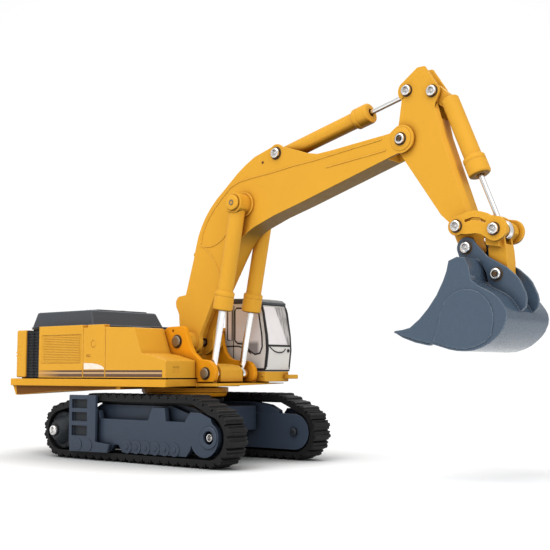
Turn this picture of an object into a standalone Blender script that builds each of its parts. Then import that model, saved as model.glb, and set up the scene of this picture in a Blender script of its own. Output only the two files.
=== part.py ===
"""Toy crawler excavator, a die-cast model of a large mining excavator at about 1:87.

The model stands on its tracks at Z = 0, faces +X and has its cab on the +Y side. Outlines and sizes are
written in millimetres about the slew axis, and the helpers turn them into metres in the object's frame.
"""

import math

import bpy
import bmesh
from mathutils import Vector

MM = 0.001
UP = (0, 0, 1)
GAP = 0.3  # clearance between pieces that touch or turn on each other

# Overall
REAR_END = -49.0  # rear edge of the deck, from the slew axis
FRONT_END = 98.6  # front of the bucket's ribs, from the slew axis
SLEW_X = -(REAR_END + FRONT_END) / 2

# Undercarriage
TRACK_TOP = 16.8
TRACK_IN, TRACK_OUT = 12.7, 19.2  # the belts' inner and outer sides, from the centre line
WHEEL_R = 7.05  # outer radius of the belt round the end wheels
WHEEL_Z = WHEEL_R
FRONT_WHEEL_X, REAR_WHEEL_X = 26.2, -26.8
CARRIER_R = 5.0
FRONT_CARRIER_X, REAR_CARRIER_X = 20.15, -15.0
PADS = 50
PAD_HEIGHT, BELT_THICKNESS = 0.6, 1.9
WHEEL_FACE_R = WHEEL_R - BELT_THICKNESS - GAP
FRAME_IN, FRAME_OUT = 12.8, 18.8
AXLE_R, AXLE_BORE = 0.65, 0.95
SCREW_R, SCREW_BORE = 1.1, 1.4  # the slew axis

# Upper structure
HALF_WIDTH = 19.4
BODY_FRONT = 12.4  # front of the deck and of the house's right side
DECK_Z, DECK_TOP = 18.5, 20.4
HOUSE_Z, HOUSE_TOP = DECK_TOP + GAP, 33.6
BRACKET_RIGHT = (-8.8, -7.4)
BRACKET_LEFT = (5.8, 7.2)
CAB_RIGHT, CAB_LEFT = 8.7, 18.6
CAB_Z = 22.6

# Work equipment: its centre plane and its pivots, as (x, z)
MID_Y = -0.8
BOOM_FOOT = (5.64, 29.85)
ROD_FOOT = (15.5, 21.8)
BARREL_TOP = (23.9, 63.4)
BOOM_TIP = (69.6, 73.3)
ARM_CYLINDER_BASE = (34.0, 75.0)
ARM_TAIL = (70.7, 84.2)
BUCKET_CYLINDER_BASE = (77.1, 83.0)
BUCKET_BARREL_TOP = (79.5, 82.9)  # where the barrel's axis passes its base pin, a little in front of it
LINK_ARM = (83.7, 52.5)
LINK_ROD = (92.3, 51.2)
BUCKET_PIVOT = (85.3, 47.95)
BUCKET_LINK = (92.1, 42.05)

BOOM_HALF, ARM_HALF, LINK_HALF = 3.1, 2.1, 1.9
RIB_OUT = 3.1  # outer face of the bucket's hinge ribs, from the centre plane
IDLER_IN, IDLER_OUT = RIB_OUT + GAP, 4.3  # the idler links' faces, from the centre plane
LINK_PIN_REACH = IDLER_OUT + GAP
BUCKET_RIGHT, BUCKET_LEFT = -9.9, 9.3
PIN_R, PIN_BORE, LOOSE_BORE = 0.6, 0.9, 1.55
FOOT_PIN_R = 0.9
CYLINDER_OFFSET = 5.35  # boom cylinders, either side of the centre plane
BARREL_R, COLLAR_R, ROD_R = 1.95, 2.45, 0.85
THIN_ROD_R, THIN_EYE_R = 0.6, 2.15  # the arm's and the bucket's rods

COLOURS = {
    "yellow": ((0.80, 0.37, 0.030), 0.35, 0.0),
    "slate": ((0.085, 0.110, 0.140), 0.40, 0.1),
    "rubber": ((0.015, 0.015, 0.017), 0.75, 0.0),
    "black": ((0.010, 0.010, 0.012), 0.50, 0.0),
    "chrome": ((0.85, 0.85, 0.86), 0.12, 1.0),
    "steel": ((0.45, 0.45, 0.46), 0.30, 1.0),
    "cab": ((0.62, 0.61, 0.62), 0.30, 0.0),
    "clear": ((0.75, 0.73, 0.73), 0.10, 0.0),
}


def clear_scene():
    for obj in list(bpy.data.objects):
        bpy.data.objects.remove(obj, do_unlink=True)


def material(name):
    found = bpy.data.materials.get(name)
    if found:
        return found
    made = bpy.data.materials.new(name)
    made.use_nodes = True
    shader = made.node_tree.nodes["Principled BSDF"]
    colour, roughness, metallic = COLOURS[name]
    shader.inputs["Base Color"].default_value = (*colour, 1.0)
    shader.inputs["Roughness"].default_value = roughness
    shader.inputs["Metallic"].default_value = metallic
    return made


def pivot(name, x=0.0, y=0.0, z=0.0):
    """The empty that a body's pieces hang on, standing on the body's joint axis."""
    empty = bpy.data.objects.new(name, None)
    empty.empty_display_size = 0.004
    empty.location = ((x + SLEW_X) * MM, y * MM, z * MM)
    bpy.context.scene.collection.objects.link(empty)
    return empty


def finish(bm, name, body, colour, sharp=35.0):
    """Turns a bmesh in millimetres into an object that hangs on its body's empty."""
    bmesh.ops.recalc_face_normals(bm, faces=bm.faces)
    origin = Vector(body.location) / MM - Vector((SLEW_X, 0, 0))
    for vert in bm.verts:
        vert.co = (vert.co - origin) * MM
    mesh = bpy.data.meshes.new(name)
    bm.to_mesh(mesh)
    bm.free()
    mesh.materials.append(material(colour))
    mesh.shade_smooth()
    mesh.set_sharp_from_angle(angle=math.radians(sharp))
    obj = bpy.data.objects.new(name, mesh)
    obj.parent = body
    bpy.context.scene.collection.objects.link(obj)
    return obj


def arc(centre, radius, start, end, steps=8):
    """Points on an arc from start to end, in degrees from +X towards +Z (or +Y in a plan)."""
    angles = [math.radians(start + (end - start) * i / steps) for i in range(steps + 1)]
    return [(centre[0] + radius * math.cos(a), centre[1] + radius * math.sin(a)) for a in angles]


def inset(outline, distance):
    """The outline moved inwards by a distance. Its points run anticlockwise."""
    moved = []
    for before, here, after in zip(outline[-1:] + outline, outline, outline[1:] + outline[:1]):
        first = (Vector(here) - Vector(before)).normalized()
        second = (Vector(after) - Vector(here)).normalized()
        normal = Vector((-first.y - second.y, first.x + second.x)).normalized()
        moved.append(tuple(Vector(here) + normal * distance / normal.dot(Vector((-first.y, first.x)))))
    return moved


def loft(bm, low, high):
    """A solid between two outlines with as many points as each other."""
    rings = [[bm.verts.new(p) for p in ring] for ring in (low, high)]
    count = len(low)
    for i in range(count):
        j = (i + 1) % count
        bm.faces.new((rings[0][i], rings[0][j], rings[1][j], rings[1][i]))
    bm.faces.new(rings[0][::-1])
    bm.faces.new(rings[1])


def side_prism(name, body, colour, outline, y0, y1, other=None):
    """An outline in the XZ plane, extruded along Y, with an optional other outline at its second end."""
    bm = bmesh.new()
    loft(bm, [(x, y0, z) for x, z in outline], [(x, y1, z) for x, z in other or outline])
    return finish(bm, name, body, colour)


def plan_prism(name, body, colour, outline, z0, z1, top=None):
    """An outline in the XY plane, extruded along Z, with an optional smaller outline at the top."""
    bm = bmesh.new()
    loft(bm, [(x, y, z0) for x, y in outline], [(x, y, z1) for x, y in top or outline])
    return finish(bm, name, body, colour)


def box(name, body, colour, x, y, z):
    outline = [(x[0], z[0]), (x[1], z[0]), (x[1], z[1]), (x[0], z[1])]
    return side_prism(name, body, colour, outline, *y)


def turned(name, body, colour, base, along, profile, segments=20, closed=False):
    """A solid of revolution. The profile holds (distance along the axis, radius). An open profile starts
    and ends on the axis, and a closed one is a ring's section."""
    axis = Vector(along).normalized()
    side = axis.orthogonal().normalized()
    other = axis.cross(side)
    base = Vector(base)
    bm = bmesh.new()
    rings = []
    for distance, radius in profile:
        centre = base + axis * distance
        if radius == 0:
            rings.append([bm.verts.new(centre)])
            continue
        turns = [2 * math.pi * i / segments for i in range(segments)]
        spokes = [side * math.cos(a) + other * math.sin(a) for a in turns]
        rings.append([bm.verts.new(centre + spoke * radius) for spoke in spokes])
    pairs = list(zip(rings, rings[1:]))
    if closed:
        pairs.append((rings[-1], rings[0]))
    for low, high in pairs:
        for i in range(segments):
            j = (i + 1) % segments
            corners = [low[i % len(low)], low[j % len(low)], high[j % len(high)], high[i % len(high)]]
            bm.faces.new(list(dict.fromkeys(corners)))
    return finish(bm, name, body, colour)


def pin_y(name, body, colour, at, radius, y0, y1, segments=16):
    """A plain round bar along Y through the point (x, z)."""
    profile = [(0, 0), (0, radius), (y1 - y0, radius), (y1 - y0, 0)]
    return turned(name, body, colour, (at[0], y0, at[1]), (0, 1, 0), profile, segments)


def helper(obj):
    obj.hide_render = True
    obj.display_type = "WIRE"


def combine(obj, operation, tools):
    for tool in tools:
        modifier = obj.modifiers.new(tool.name, "BOOLEAN")
        modifier.operation = operation
        modifier.object = tool
        helper(tool)
    return obj


def cut(obj, *tools):
    return combine(obj, "DIFFERENCE", tools)


def join(obj, *tools):
    return combine(obj, "UNION", tools)


def bore(obj, body, at, radius, y0, y1):
    """Drills a hole along Y through an object."""
    return cut(obj, pin_y(f"cut_{obj.name}_{at[0]:.0f}_{at[1]:.0f}", body, "steel", at, radius, y0, y1))


def rivet(name, body, at, y0, y1, head=1.25, colour="steel", shaft=PIN_R, thick=0.55):
    """A pin along Y with a chamfered head at both ends."""
    length = y1 - y0
    dome = [(-thick, 0), (-thick, head * 0.6), (-thick * 0.5, head), (0, head)]
    far = [(length - distance, radius) for distance, radius in reversed(dome)]
    profile = dome + [(0, shaft), (length, shaft)] + far
    return turned(name, body, colour, (at[0], y0, at[1]), (0, 1, 0), profile, segments=16)


# ---------------------------------------------------------------- tracks


def tangent(first, second):
    """Angle of the outward normal where a straight run touches two circles, each (x, z, radius)."""
    dx, dz = second[0] - first[0], second[1] - first[1]
    heading = math.atan2(dz, dx) % (2 * math.pi)
    return math.degrees(heading - math.acos((first[2] - second[2]) / math.hypot(dx, dz)))


def direction(angle):
    """The unit vector at an angle in degrees."""
    return Vector((math.cos(math.radians(angle)), math.sin(math.radians(angle))))


def track_path():
    """The belt's outer path as arcs (centre x, z, radius, start, end), with straight runs between them."""
    carrier_z = TRACK_TOP - CARRIER_R
    front, rear = (FRONT_WHEEL_X, WHEEL_Z, WHEEL_R), (REAR_WHEEL_X, WHEEL_Z, WHEEL_R)
    front_top, rear_top = (FRONT_CARRIER_X, carrier_z, CARRIER_R), (REAR_CARRIER_X, carrier_z, CARRIER_R)
    rise, fall = tangent(front, front_top), tangent(rear_top, rear)
    return [(*front, -90, rise), (*front_top, rise, 90), (*rear_top, 90, fall), (*rear, fall, 270)]


def track_point(distance, depth, path):
    """The point at a distance along the belt from the middle of its lower run, moved inwards by a depth."""
    here = Vector((0, 0))
    for x, z, radius, start, end in path + [(0, WHEEL_Z, WHEEL_R, 270, 270)]:
        there = Vector((x, z)) + direction(start) * radius
        run = (there - here).length
        if distance <= run:
            return here.lerp(there, distance / run) - direction(start) * depth
        distance -= run
        curve = math.radians(end - start) * radius
        if distance <= curve:
            turned_by = math.degrees(distance / radius)
            return Vector((x, z)) + direction(start + turned_by) * (radius - depth)
        distance -= curve
        here = Vector((x, z)) + direction(end) * radius
    return here


def track_length(path):
    total, here = 0.0, Vector((0, 0))
    for x, z, radius, start, end in path:
        there = Vector((x, z)) + direction(start) * radius
        total += (there - here).length + math.radians(end - start) * radius
        here = Vector((x, z)) + direction(end) * radius
    return total - here.x


def track_belt(side, sign, body):
    path = track_path()
    total = track_length(path)
    pitch = total / PADS
    y0, y1 = sign * TRACK_IN, sign * TRACK_OUT
    outer, inner = [], []
    pad_section = ((-0.34, PAD_HEIGHT), (-0.24, 0.0), (0.24, 0.0), (0.34, PAD_HEIGHT))
    for pad in range(PADS):
        for step, depth in pad_section:
            distance = ((pad + step) * pitch) % total
            outer.append(track_point(distance, depth, path))
            inner.append(track_point(distance, BELT_THICKNESS, path))
    bm = bmesh.new()
    rings = [[bm.verts.new((p.x, y, p.y)) for p in ring] for ring in (outer, inner) for y in (y0, y1)]
    count = len(outer)
    for i in range(count):
        j = (i + 1) % count
        for low, high in ((0, 1), (1, 3), (3, 2), (2, 0)):
            bm.faces.new((rings[low][i], rings[low][j], rings[high][j], rings[high][i]))
    return finish(bm, f"track_belt_{side}", body, "rubber", sharp=20.0)


def track_frame(side, sign, body):
    """One side frame: an inner plate with a lobe at each wheel, a box beam, and an outer plate."""
    front, rear = (FRONT_WHEEL_X, WHEEL_Z), (REAR_WHEEL_X, WHEEL_Z)
    inner = arc(front, 4.5, -90, 90) + arc(rear, 4.5, 90, 270)
    frame = side_prism(f"track_frame_{side}", body, "slate", inner, sign * FRAME_IN, sign * 13.9)
    beam = [(-21.2, 3.2), (20.6, 3.2), (20.6, 11.4), (11.6, 13.4), (-14.0, 13.4), (-21.2, 10.4)]
    lobe = arc((24.6, 6.9), 4.5, 205, 395, 12)
    outer = (
        [(-21.2, 2.3), (-7.6, 2.3), (-6.3, 4.1), (-4.6, 4.1), (-3.2, 2.3), (18.9, 2.3), (20.2, 3.9)]
        + lobe
        + [(27.0, 10.4), (26.7, 11.5), (23.5, 12.7), (20.2, 12.8), (18.3, 10.4), (12.0, 10.4), (11.5, 13.6)]
        + [(7.4, 13.6), (5.8, 10.4), (-11.6, 10.4), (-12.2, 12.5), (-21.2, 12.5)]
    )
    core = [(-20.6, 4.3), (20.2, 4.3), (20.2, 10.2), (-20.6, 10.2)]
    step_pad = [(-20.8, 3.6), (-13.0, 3.6), (-13.0, 12.0), (-20.8, 12.0)]
    join(
        frame,
        side_prism(f"add_beam_{side}", body, "slate", beam, sign * 13.5, sign * 16.4),
        side_prism(f"add_core_{side}", body, "slate", core, sign * 16.0, sign * 17.8),
        side_prism(f"add_outer_{side}", body, "slate", outer, sign * 17.3, sign * FRAME_OUT),
        side_prism(f"add_step_{side}", body, "slate", step_pad, sign * 18.3, sign * 19.15),
    )
    bore(frame, body, front, AXLE_BORE, sign * 12.0, sign * 15.0)
    bore(frame, body, rear, AXLE_BORE, sign * 12.0, sign * 15.0)
    cut(frame, pin_y(f"cut_recess_{side}", body, "slate", front, LOOSE_BORE, sign * 16.9, sign * 19.6))


def step_box(side, sign, body):
    """The boarding ladder, with three steps sunk into it and a foot that tapers in."""
    outline = [(-21.6, 1.9), (-7.2, 2.1), (-6.4, 4.2), (-11.7, 4.6)]
    outline += [(-11.7, 16.3), (-22.0, 16.3), (-22.0, 5.2)]
    ladder = side_prism(f"step_box_{side}", body, "slate", outline, sign * (TRACK_OUT + GAP), sign * 20.4)
    sunk = (sign * 19.9, sign * 21.0)
    for number, heights in enumerate(((5.9, 8.5), (9.6, 11.9), (12.9, 15.2))):
        cut(ladder, box(f"cut_step_{side}_{number}", body, "slate", (-20.9, -14.9), sunk, heights))


def track_wheels(side, sign, root):
    """The idler in front and the sprocket behind, each on its axle rivet."""
    rim, groove = WHEEL_FACE_R, 3.9
    idler = [(0, AXLE_BORE), (0, rim), (0.6, rim), (0.8, groove), (2.0, groove), (2.2, rim)]
    idler += [(2.8, rim), (2.8, AXLE_BORE)]
    sprocket = [(0, AXLE_BORE), (0, rim), (0.8, rim), (1.0, groove), (2.8, groove), (3.0, rim), (4.1, rim)]
    sprocket += [(4.1, 3.6), (4.5, 3.3), (6.7, 2.3), (6.7, AXLE_BORE)]
    head = [(12.0, 0), (12.0, 0.7), (12.2, 1.0), (12.5, 1.0), (12.5, AXLE_R)]
    idler_axle = head + [(17.3, AXLE_R), (17.3, 1.0), (18.3, 1.0), (18.55, 0.7), (18.55, 0)]
    sprocket_axle = head + [(21.2, AXLE_R), (21.2, 1.45), (21.6, 1.4), (21.9, 0.9), (21.9, 0)]
    along = (0, sign, 0)
    for name, x, wheel, axle in (
        ("idler", FRONT_WHEEL_X, idler, idler_axle),
        ("sprocket", REAR_WHEEL_X, sprocket, sprocket_axle),
    ):
        body = pivot(f"{name}_{side}_axis", x, sign * 16.0, WHEEL_Z)
        hub = (x, sign * 14.2, WHEEL_Z)
        turned(f"{name}_{side}", body, "black", hub, along, wheel, segments=24, closed=True)
        turned(f"{name}_axle_{side}", root, "steel", (x, 0, WHEEL_Z), along, axle)


def tracks(root):
    for side, sign in (("right", -1), ("left", 1)):
        track_frame(side, sign, root)
        step_box(side, sign, root)
        track_belt(side, sign, root)
        track_wheels(side, sign, root)


def chassis(root):
    """The cross frame between the tracks, the slew base on it, and the screw up into the upper part."""
    half_x, half_y, waist = 13.8, TRACK_IN - 0.2, 9.0
    corner = [(half_x, -half_y), (half_x, half_y), (waist, half_y), (5.5, 9.4), (-5.5, 9.4), (-waist, half_y)]
    outline = corner + [(-x, -y) for x, y in corner]
    frame = plan_prism("chassis_frame", root, "slate", outline, 7.2, 13.5)
    way = [(0, 0), (0, SCREW_BORE), (12, SCREW_BORE), (12, 0)]
    cut(frame, turned("cut_chassis_screw", root, "slate", (0, 0, 5), UP, way))
    ring = [(0, SCREW_BORE), (0, 9.6), (0.5, 10.2), (1.7, 10.2), (1.7, SCREW_BORE)]
    turned("slew_base_ring", root, "black", (0, 0, 13.8), UP, ring, segments=40, closed=True)
    screw = [(0, 0), (0, 1.6), (0.4, 2.1), (0.9, 2.1), (0.9, SCREW_R), (11.4, SCREW_R), (11.4, 0)]
    turned("slew_screw", root, "steel", (0, 0, 6.0), UP, screw)


# ---------------------------------------------------------------- upper structure


def deck(upper):
    """The base plate, the wedge under its rear, deeper on the right, and the turntable below it."""
    corner = 1.0
    plan = [(REAR_END, corner - HALF_WIDTH), (REAR_END + corner, -HALF_WIDTH), (BODY_FRONT, -HALF_WIDTH)]
    plan += [(x, -y) for x, y in reversed(plan)]
    plate = plan_prism("upper_deck", upper, "yellow", plan, DECK_Z, DECK_TOP)
    tongue = [(11.0, 18.6), (19.2, 18.6), (19.2, 19.4), (11.0, 19.4)]
    tongue_left = [(11.0, 19.2), (20.0, 19.2), (20.0, 19.4), (11.0, 19.4)]
    wedge = [(-48.2, 19.0), (-46.6, 15.9), (-45.4, 15.9), (-28.5, 17.1), (-4.5, 17.8), (-4.5, 19.0)]
    wedge_left = [(-48.2, 19.0), (-46.6, 17.7), (-45.4, 17.7), (-28.5, 17.9), (-4.5, 18.0), (-4.5, 19.0)]
    join(
        plate,
        side_prism("add_tongue", upper, "yellow", tongue, -8.8, 16.4, tongue_left),
        side_prism("add_wedge", upper, "yellow", wedge, -17.6, 17.6, wedge_left),
    )
    cut(plate, box("cut_deck_left", upper, "yellow", (1.0, 14.0), (7.5, 20.5), (17.0, 19.1)))
    well_r, well_height = 12.4, 4.5
    well = [(0, 0), (0, well_r), (well_height, well_r), (well_height, 0)]
    cut(plate, turned("cut_turntable_well", upper, "yellow", (0, 0, 14), UP, well, segments=48))
    ring = [(0, SCREW_BORE), (0, 10.6), (0.4, 11.0), (2.4, 11.3), (2.4, SCREW_BORE)]
    turned("turntable", upper, "yellow", (0, 0, 15.8), UP, ring, segments=48, closed=True)


def house(upper):
    """The body casting: engine bay along the right side with a low front box, a middle, and the left side."""
    rear = -36.4
    front = [(BODY_FRONT, HOUSE_Z), (BODY_FRONT, 24.9), (6.9, 26.4), (3.8, 26.8)]
    front += [(1.2, 33.1), (-9.9, HOUSE_TOP)]
    right = [(rear, HOUSE_Z)] + front + [(rear, HOUSE_TOP)]
    body = side_prism("house_body", upper, "yellow", right, -HALF_WIDTH, -9.1)
    middle = [(rear, HOUSE_Z), (-3.4, HOUSE_Z), (-3.4, 33.2), (-9.9, HOUSE_TOP), (rear, HOUSE_TOP)]
    left = [(rear, HOUSE_Z), (5.2, HOUSE_Z), (5.2, 33.2), (-9.9, HOUSE_TOP), (rear, HOUSE_TOP)]
    join(
        body,
        side_prism("add_house_middle", upper, "yellow", middle, -10.0, 9.0),
        side_prism("add_house_left", upper, "yellow", left, 8.4, HALF_WIDTH),
    )
    for side, sign, rim_inner in (("right", -1, -15.6), ("left", 1, 12.0)):
        outside = sign * HALF_WIDTH
        rim_y = sorted((rim_inner, outside))
        lip_y = sorted((outside - sign * 2.0, outside))
        join(
            body,
            box(f"add_rim_{side}", upper, "yellow", (rear, -18.4), rim_y, (33.0, 34.35)),
            box(f"add_lip_{side}", upper, "yellow", (-16.2, -10.0), lip_y, (33.0, 34.3)),
        )


def rear_end(upper):
    """The counterweight with its rounded back, and the black radiator grille between it and the house."""
    back = arc((30.9, 0.0), 79.6, 165.9, 194.1, 8)
    outline = [(-42.2, -HALF_WIDTH), (-42.2, HALF_WIDTH)] + back
    plan_prism("counterweight", upper, "yellow", outline, HOUSE_Z, HOUSE_TOP)
    inside = (GAP - HALF_WIDTH, HALF_WIDTH - GAP)
    box("radiator_grille", upper, "black", (-41.9, -36.7), inside, (HOUSE_Z, 33.5))


def engine_hood(upper):
    low = [(-45.9, -14.9), (-18.9, -14.9), (-18.9, 11.4), (-45.9, 11.4)]
    high = [(-43.6, -13.8), (-20.7, -13.8), (-20.7, 9.8), (-43.6, 9.8)]
    hood = plan_prism("engine_hood", upper, "slate", low, HOUSE_TOP + GAP, 38.7, high)
    bevel = hood.modifiers.new("rounded_edges", "BEVEL")
    bevel.width = 0.6 * MM
    bevel.segments = 2
    return hood


def boom_brackets(upper):
    """The two bracket plates that carry the boom's foot and the boom cylinders' feet."""
    back = [(1.0, 32.8), (2.2, 33.6)]
    right_edge = [(6.8, 33.7), (8.6, 32.6), (10.1, 28.8), (11.1, 27.1), (13.5, 25.3), (16.8, 24.9)]
    left_edge = [(5.6, 33.2), (7.3, 31.8), (7.8, 29.4), (8.6, 27.4), (9.9, 26.0), (11.4, 25.3), (16.8, 24.9)]
    nose = arc(ROD_FOOT, 3.3, 65, -35, 6)
    foot = [(18.0, 19.7), (14.0, 19.7), (12.7, 19.7), (12.7, HOUSE_Z), (2.5, HOUSE_Z)]
    for side, (y0, y1), edge in (("right", BRACKET_RIGHT, right_edge), ("left", BRACKET_LEFT, left_edge)):
        outline = foot + back + edge + nose
        plate = side_prism(f"boom_bracket_{side}", upper, "yellow", outline, y0, y1)
        bore(plate, upper, BOOM_FOOT, FOOT_PIN_R + GAP, y0 - 1, y1 + 1)
        bore(plate, upper, ROD_FOOT, PIN_BORE, y0 - 1, y1 + 1)
    beam = [(11.2, HOUSE_Z), (12.7, HOUSE_Z), (12.7, 19.7), (17.2, 19.7)]
    beam += [(17.2, 22.9), (15.9, 23.8), (11.2, 24.3)]
    cross = side_prism("front_crossmember", upper, "yellow", beam, -4.9, 3.3)
    bore(cross, upper, ROD_FOOT, PIN_BORE, -6, 5)
    outside = (BRACKET_RIGHT[0] - GAP, BRACKET_LEFT[1] + GAP)
    rivet("boom_foot_pin", upper, BOOM_FOOT, *outside, head=1.45, shaft=FOOT_PIN_R)
    rivet("boom_rod_foot_pin", upper, ROD_FOOT, *outside, head=1.3)


def hollow(obj, body, outline, wall, y0, y1):
    """Empties an extruded outline down to a wall, and opens it at the bottom, its first two points."""
    inside = inset(outline, wall)
    for corner in (0, 1):
        inside[corner] = (inside[corner][0], outline[corner][1] - 1)
    return cut(obj, side_prism(f"cut_{obj.name}_inside", body, "cab", inside, y0 + wall, y1 - wall))


def cab(upper):
    """The cab: platform, step, a thin-walled shell with window openings, its clear insert, and the seat."""
    platform = box("cab_platform", upper, "yellow", (5.7, 20.4), (8.4, 17.8), (19.7, CAB_Z - GAP))
    cut(platform, box("cut_platform_heel", upper, "yellow", (0.0, 12.7), (7.0, 20.0), (19.0, HOUSE_Z)))
    box("front_step", upper, "yellow", (20.7, 22.4), (15.5, 19.3), (20.4, 21.5))

    front = [(20.0, CAB_Z), (20.7, 27.8), (20.4, 31.6), (19.2, 37.6), (18.5, 40.0), (17.5, 40.8)]
    outline = [(6.1, CAB_Z)] + front + [(7.3, 41.4), (6.1, 40.8)]
    wall, pane = 0.6, 0.5
    shell = side_prism("cab_shell", upper, "cab", outline, CAB_RIGHT, CAB_LEFT)
    hollow(shell, upper, outline, wall, CAB_RIGHT, CAB_LEFT)
    door = [(9.6, 29.0), (12.4, 28.0), (17.6, 26.6), (19.2, 27.9), (19.0, 31.5), (17.8, 37.6), (9.6, 38.0)]
    cut(shell, side_prism("cut_side_windows", upper, "cab", door, CAB_RIGHT - 1, CAB_LEFT + 1))
    screen_y = (CAB_RIGHT + 1.0, CAB_LEFT - 1.0)
    rear_y = (CAB_RIGHT + 1.4, CAB_LEFT - 1.4)
    cut(
        shell,
        box("cut_windscreen", upper, "cab", (18.0, 22.0), screen_y, (28.9, 38.6)),
        box("cut_rear_window", upper, "cab", (5.0, 7.0), rear_y, (29.0, 38.4)),
    )

    lens = inset(outline, wall + GAP)
    lens[0], lens[1] = (lens[0][0], CAB_Z), (lens[1][0], CAB_Z)
    y0, y1 = CAB_RIGHT + wall + GAP, CAB_LEFT - wall - GAP
    glass = side_prism("cab_glazing", upper, "clear", lens, y0, y1)
    hollow(glass, upper, lens, pane, y0, y1)

    seat_side = [(9.0, CAB_Z), (14.2, CAB_Z), (14.2, 26.6), (10.6, 27.2)]
    seat_side += [(10.3, 32.2), (9.6, 34.4), (8.2, 34.2), (8.6, 26.8)]
    side_prism("operator_seat", upper, "black", seat_side, 11.4, 15.9)


# ---------------------------------------------------------------- boom and its cylinders


def boom_outline():
    back = [(1.6, 33.4), (1.3, 36.9), (0.3, 38.9), (0.1, 40.5)]
    back += [(1.3, 41.7), (3.7, 42.0), (6.4, 50.9), (7.2, 54.1)]
    bend = [(9.0, 59.0), (12.1, 63.6), (16.9, 67.9), (21.4, 71.6), (27.1, 75.1)]
    lug = arc(ARM_CYLINDER_BASE, 2.3, 125, 40, 5)
    top = [(40.5, 74.9), (46.4, 73.2), (56.0, 74.0), (66.6, 75.0)]
    tip = arc(BOOM_TIP, 3.2, 112, -105, 12)
    belly = [(49.9, 64.6), (33.2, 59.8), (27.0, 57.6), (23.0, 55.2)]
    belly += [(19.6, 50.6), (14.7, 42.7), (10.9, 35.6), (8.9, 32.0)]
    foot = arc(BOOM_FOOT, 3.3, 15, -200, 12)
    return back + bend + lug + top + tip + belly + foot


def boom(body):
    y0, y1 = MID_Y - BOOM_HALF, MID_Y + BOOM_HALF
    beam = side_prism("boom", body, "yellow", boom_outline(), y0, y1)
    foot_tube = (BRACKET_RIGHT[1] + GAP, BRACKET_LEFT[0] - GAP)
    join(beam, pin_y("add_foot_tube", body, "yellow", BOOM_FOOT, 2.5, *foot_tube))
    foot_slot = [(4.6, 25.5), (12.0, 25.5), (12.5, 34.0), (15.5, 41.5), (12.6, 43.5), (7.4, 34.0)]
    top_slot = [(31.0, 72.2), (35.5, 72.2), (47.5, 75.2), (47.5, 79.5), (31.0, 79.5)]
    tip_slot = [(65.8, 66.0), (75.0, 66.0), (75.0, 79.0), (65.8, 79.0)]
    slots = (("foot", foot_slot, 1.8), ("top", top_slot, 2.3), ("tip", tip_slot, ARM_HALF + GAP))
    for name, outline, half in slots:
        cut(beam, side_prism(f"cut_boom_{name}", body, "yellow", outline, MID_Y - half, MID_Y + half))
    bore(beam, body, BOOM_FOOT, FOOT_PIN_R + GAP, -9, 8)
    for at in (BARREL_TOP, ARM_CYLINDER_BASE, BOOM_TIP):
        bore(beam, body, at, PIN_BORE, y0 - 1, y1 + 1)
    rivet("boom_tip_pin", body, BOOM_TIP, y0 - GAP, y1 + GAP, head=1.3)
    rivet("arm_cylinder_base_pin", body, ARM_CYLINDER_BASE, y0 - GAP, y1 + GAP, head=1.2)
    outside = CYLINDER_OFFSET + BARREL_R + GAP
    rivet("boom_cylinder_top_pin", body, BARREL_TOP, MID_Y - outside, MID_Y + outside, head=1.9)


def barrel_profile(start, end, collar, bore_radius, depth):
    """A cylinder barrel with a thicker collar at its open end and a blind bore."""
    tube = [(start, 0), (start, BARREL_R - 0.35), (start + 0.35, BARREL_R), (end - collar - 0.4, BARREL_R)]
    rim = [(end - collar, COLLAR_R), (end - 0.5, COLLAR_R), (end, COLLAR_R - 0.45)]
    return tube + rim + [(end, bore_radius), (depth, bore_radius), (depth, 0)]


def shaft_profile(start, end, radius):
    return [(start, 0), (start, radius), (end, radius), (end, 0)]


def line(first, second, y):
    """The start, direction and length of a line in the plane Y = y between two (x, z) points."""
    start = Vector((first[0], y, first[1]))
    along = Vector((second[0], y, second[1])) - start
    return start, along.normalized(), along.length


def boom_cylinders(rod_body, barrel_body):
    """Two barrels that hang on the boom's top pin, on rods that stand on the foot pin."""
    for side, sign in (("right", -1), ("left", 1)):
        y = MID_Y + sign * CYLINDER_OFFSET
        top, down, _ = line(BARREL_TOP, ROD_FOOT, y)
        tube = barrel_profile(1.0, 26.6, 4.6, ROD_R + GAP, 3.0)
        barrel = turned(f"boom_barrel_{side}", barrel_body, "yellow", top, down, tube)
        eye = (BARREL_TOP, 2.5, y - BARREL_R, y + BARREL_R)
        join(barrel, pin_y(f"add_barrel_eye_{side}", barrel_body, "yellow", *eye))
        bore(barrel, barrel_body, BARREL_TOP, LOOSE_BORE, y - 3, y + 3)
        foot, up, _ = line(ROD_FOOT, BARREL_TOP, y)
        rod = turned(f"boom_rod_{side}", rod_body, "chrome", foot, up, shaft_profile(0.9, 33.8, ROD_R))
        join(rod, pin_y(f"add_rod_eye_{side}", rod_body, "chrome", ROD_FOOT, 1.6, y - 0.95, y + 0.95))
        bore(rod, rod_body, ROD_FOOT, PIN_BORE, y - 2, y + 2)


# ---------------------------------------------------------------- arm, its cylinder and the bucket cylinder


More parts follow.
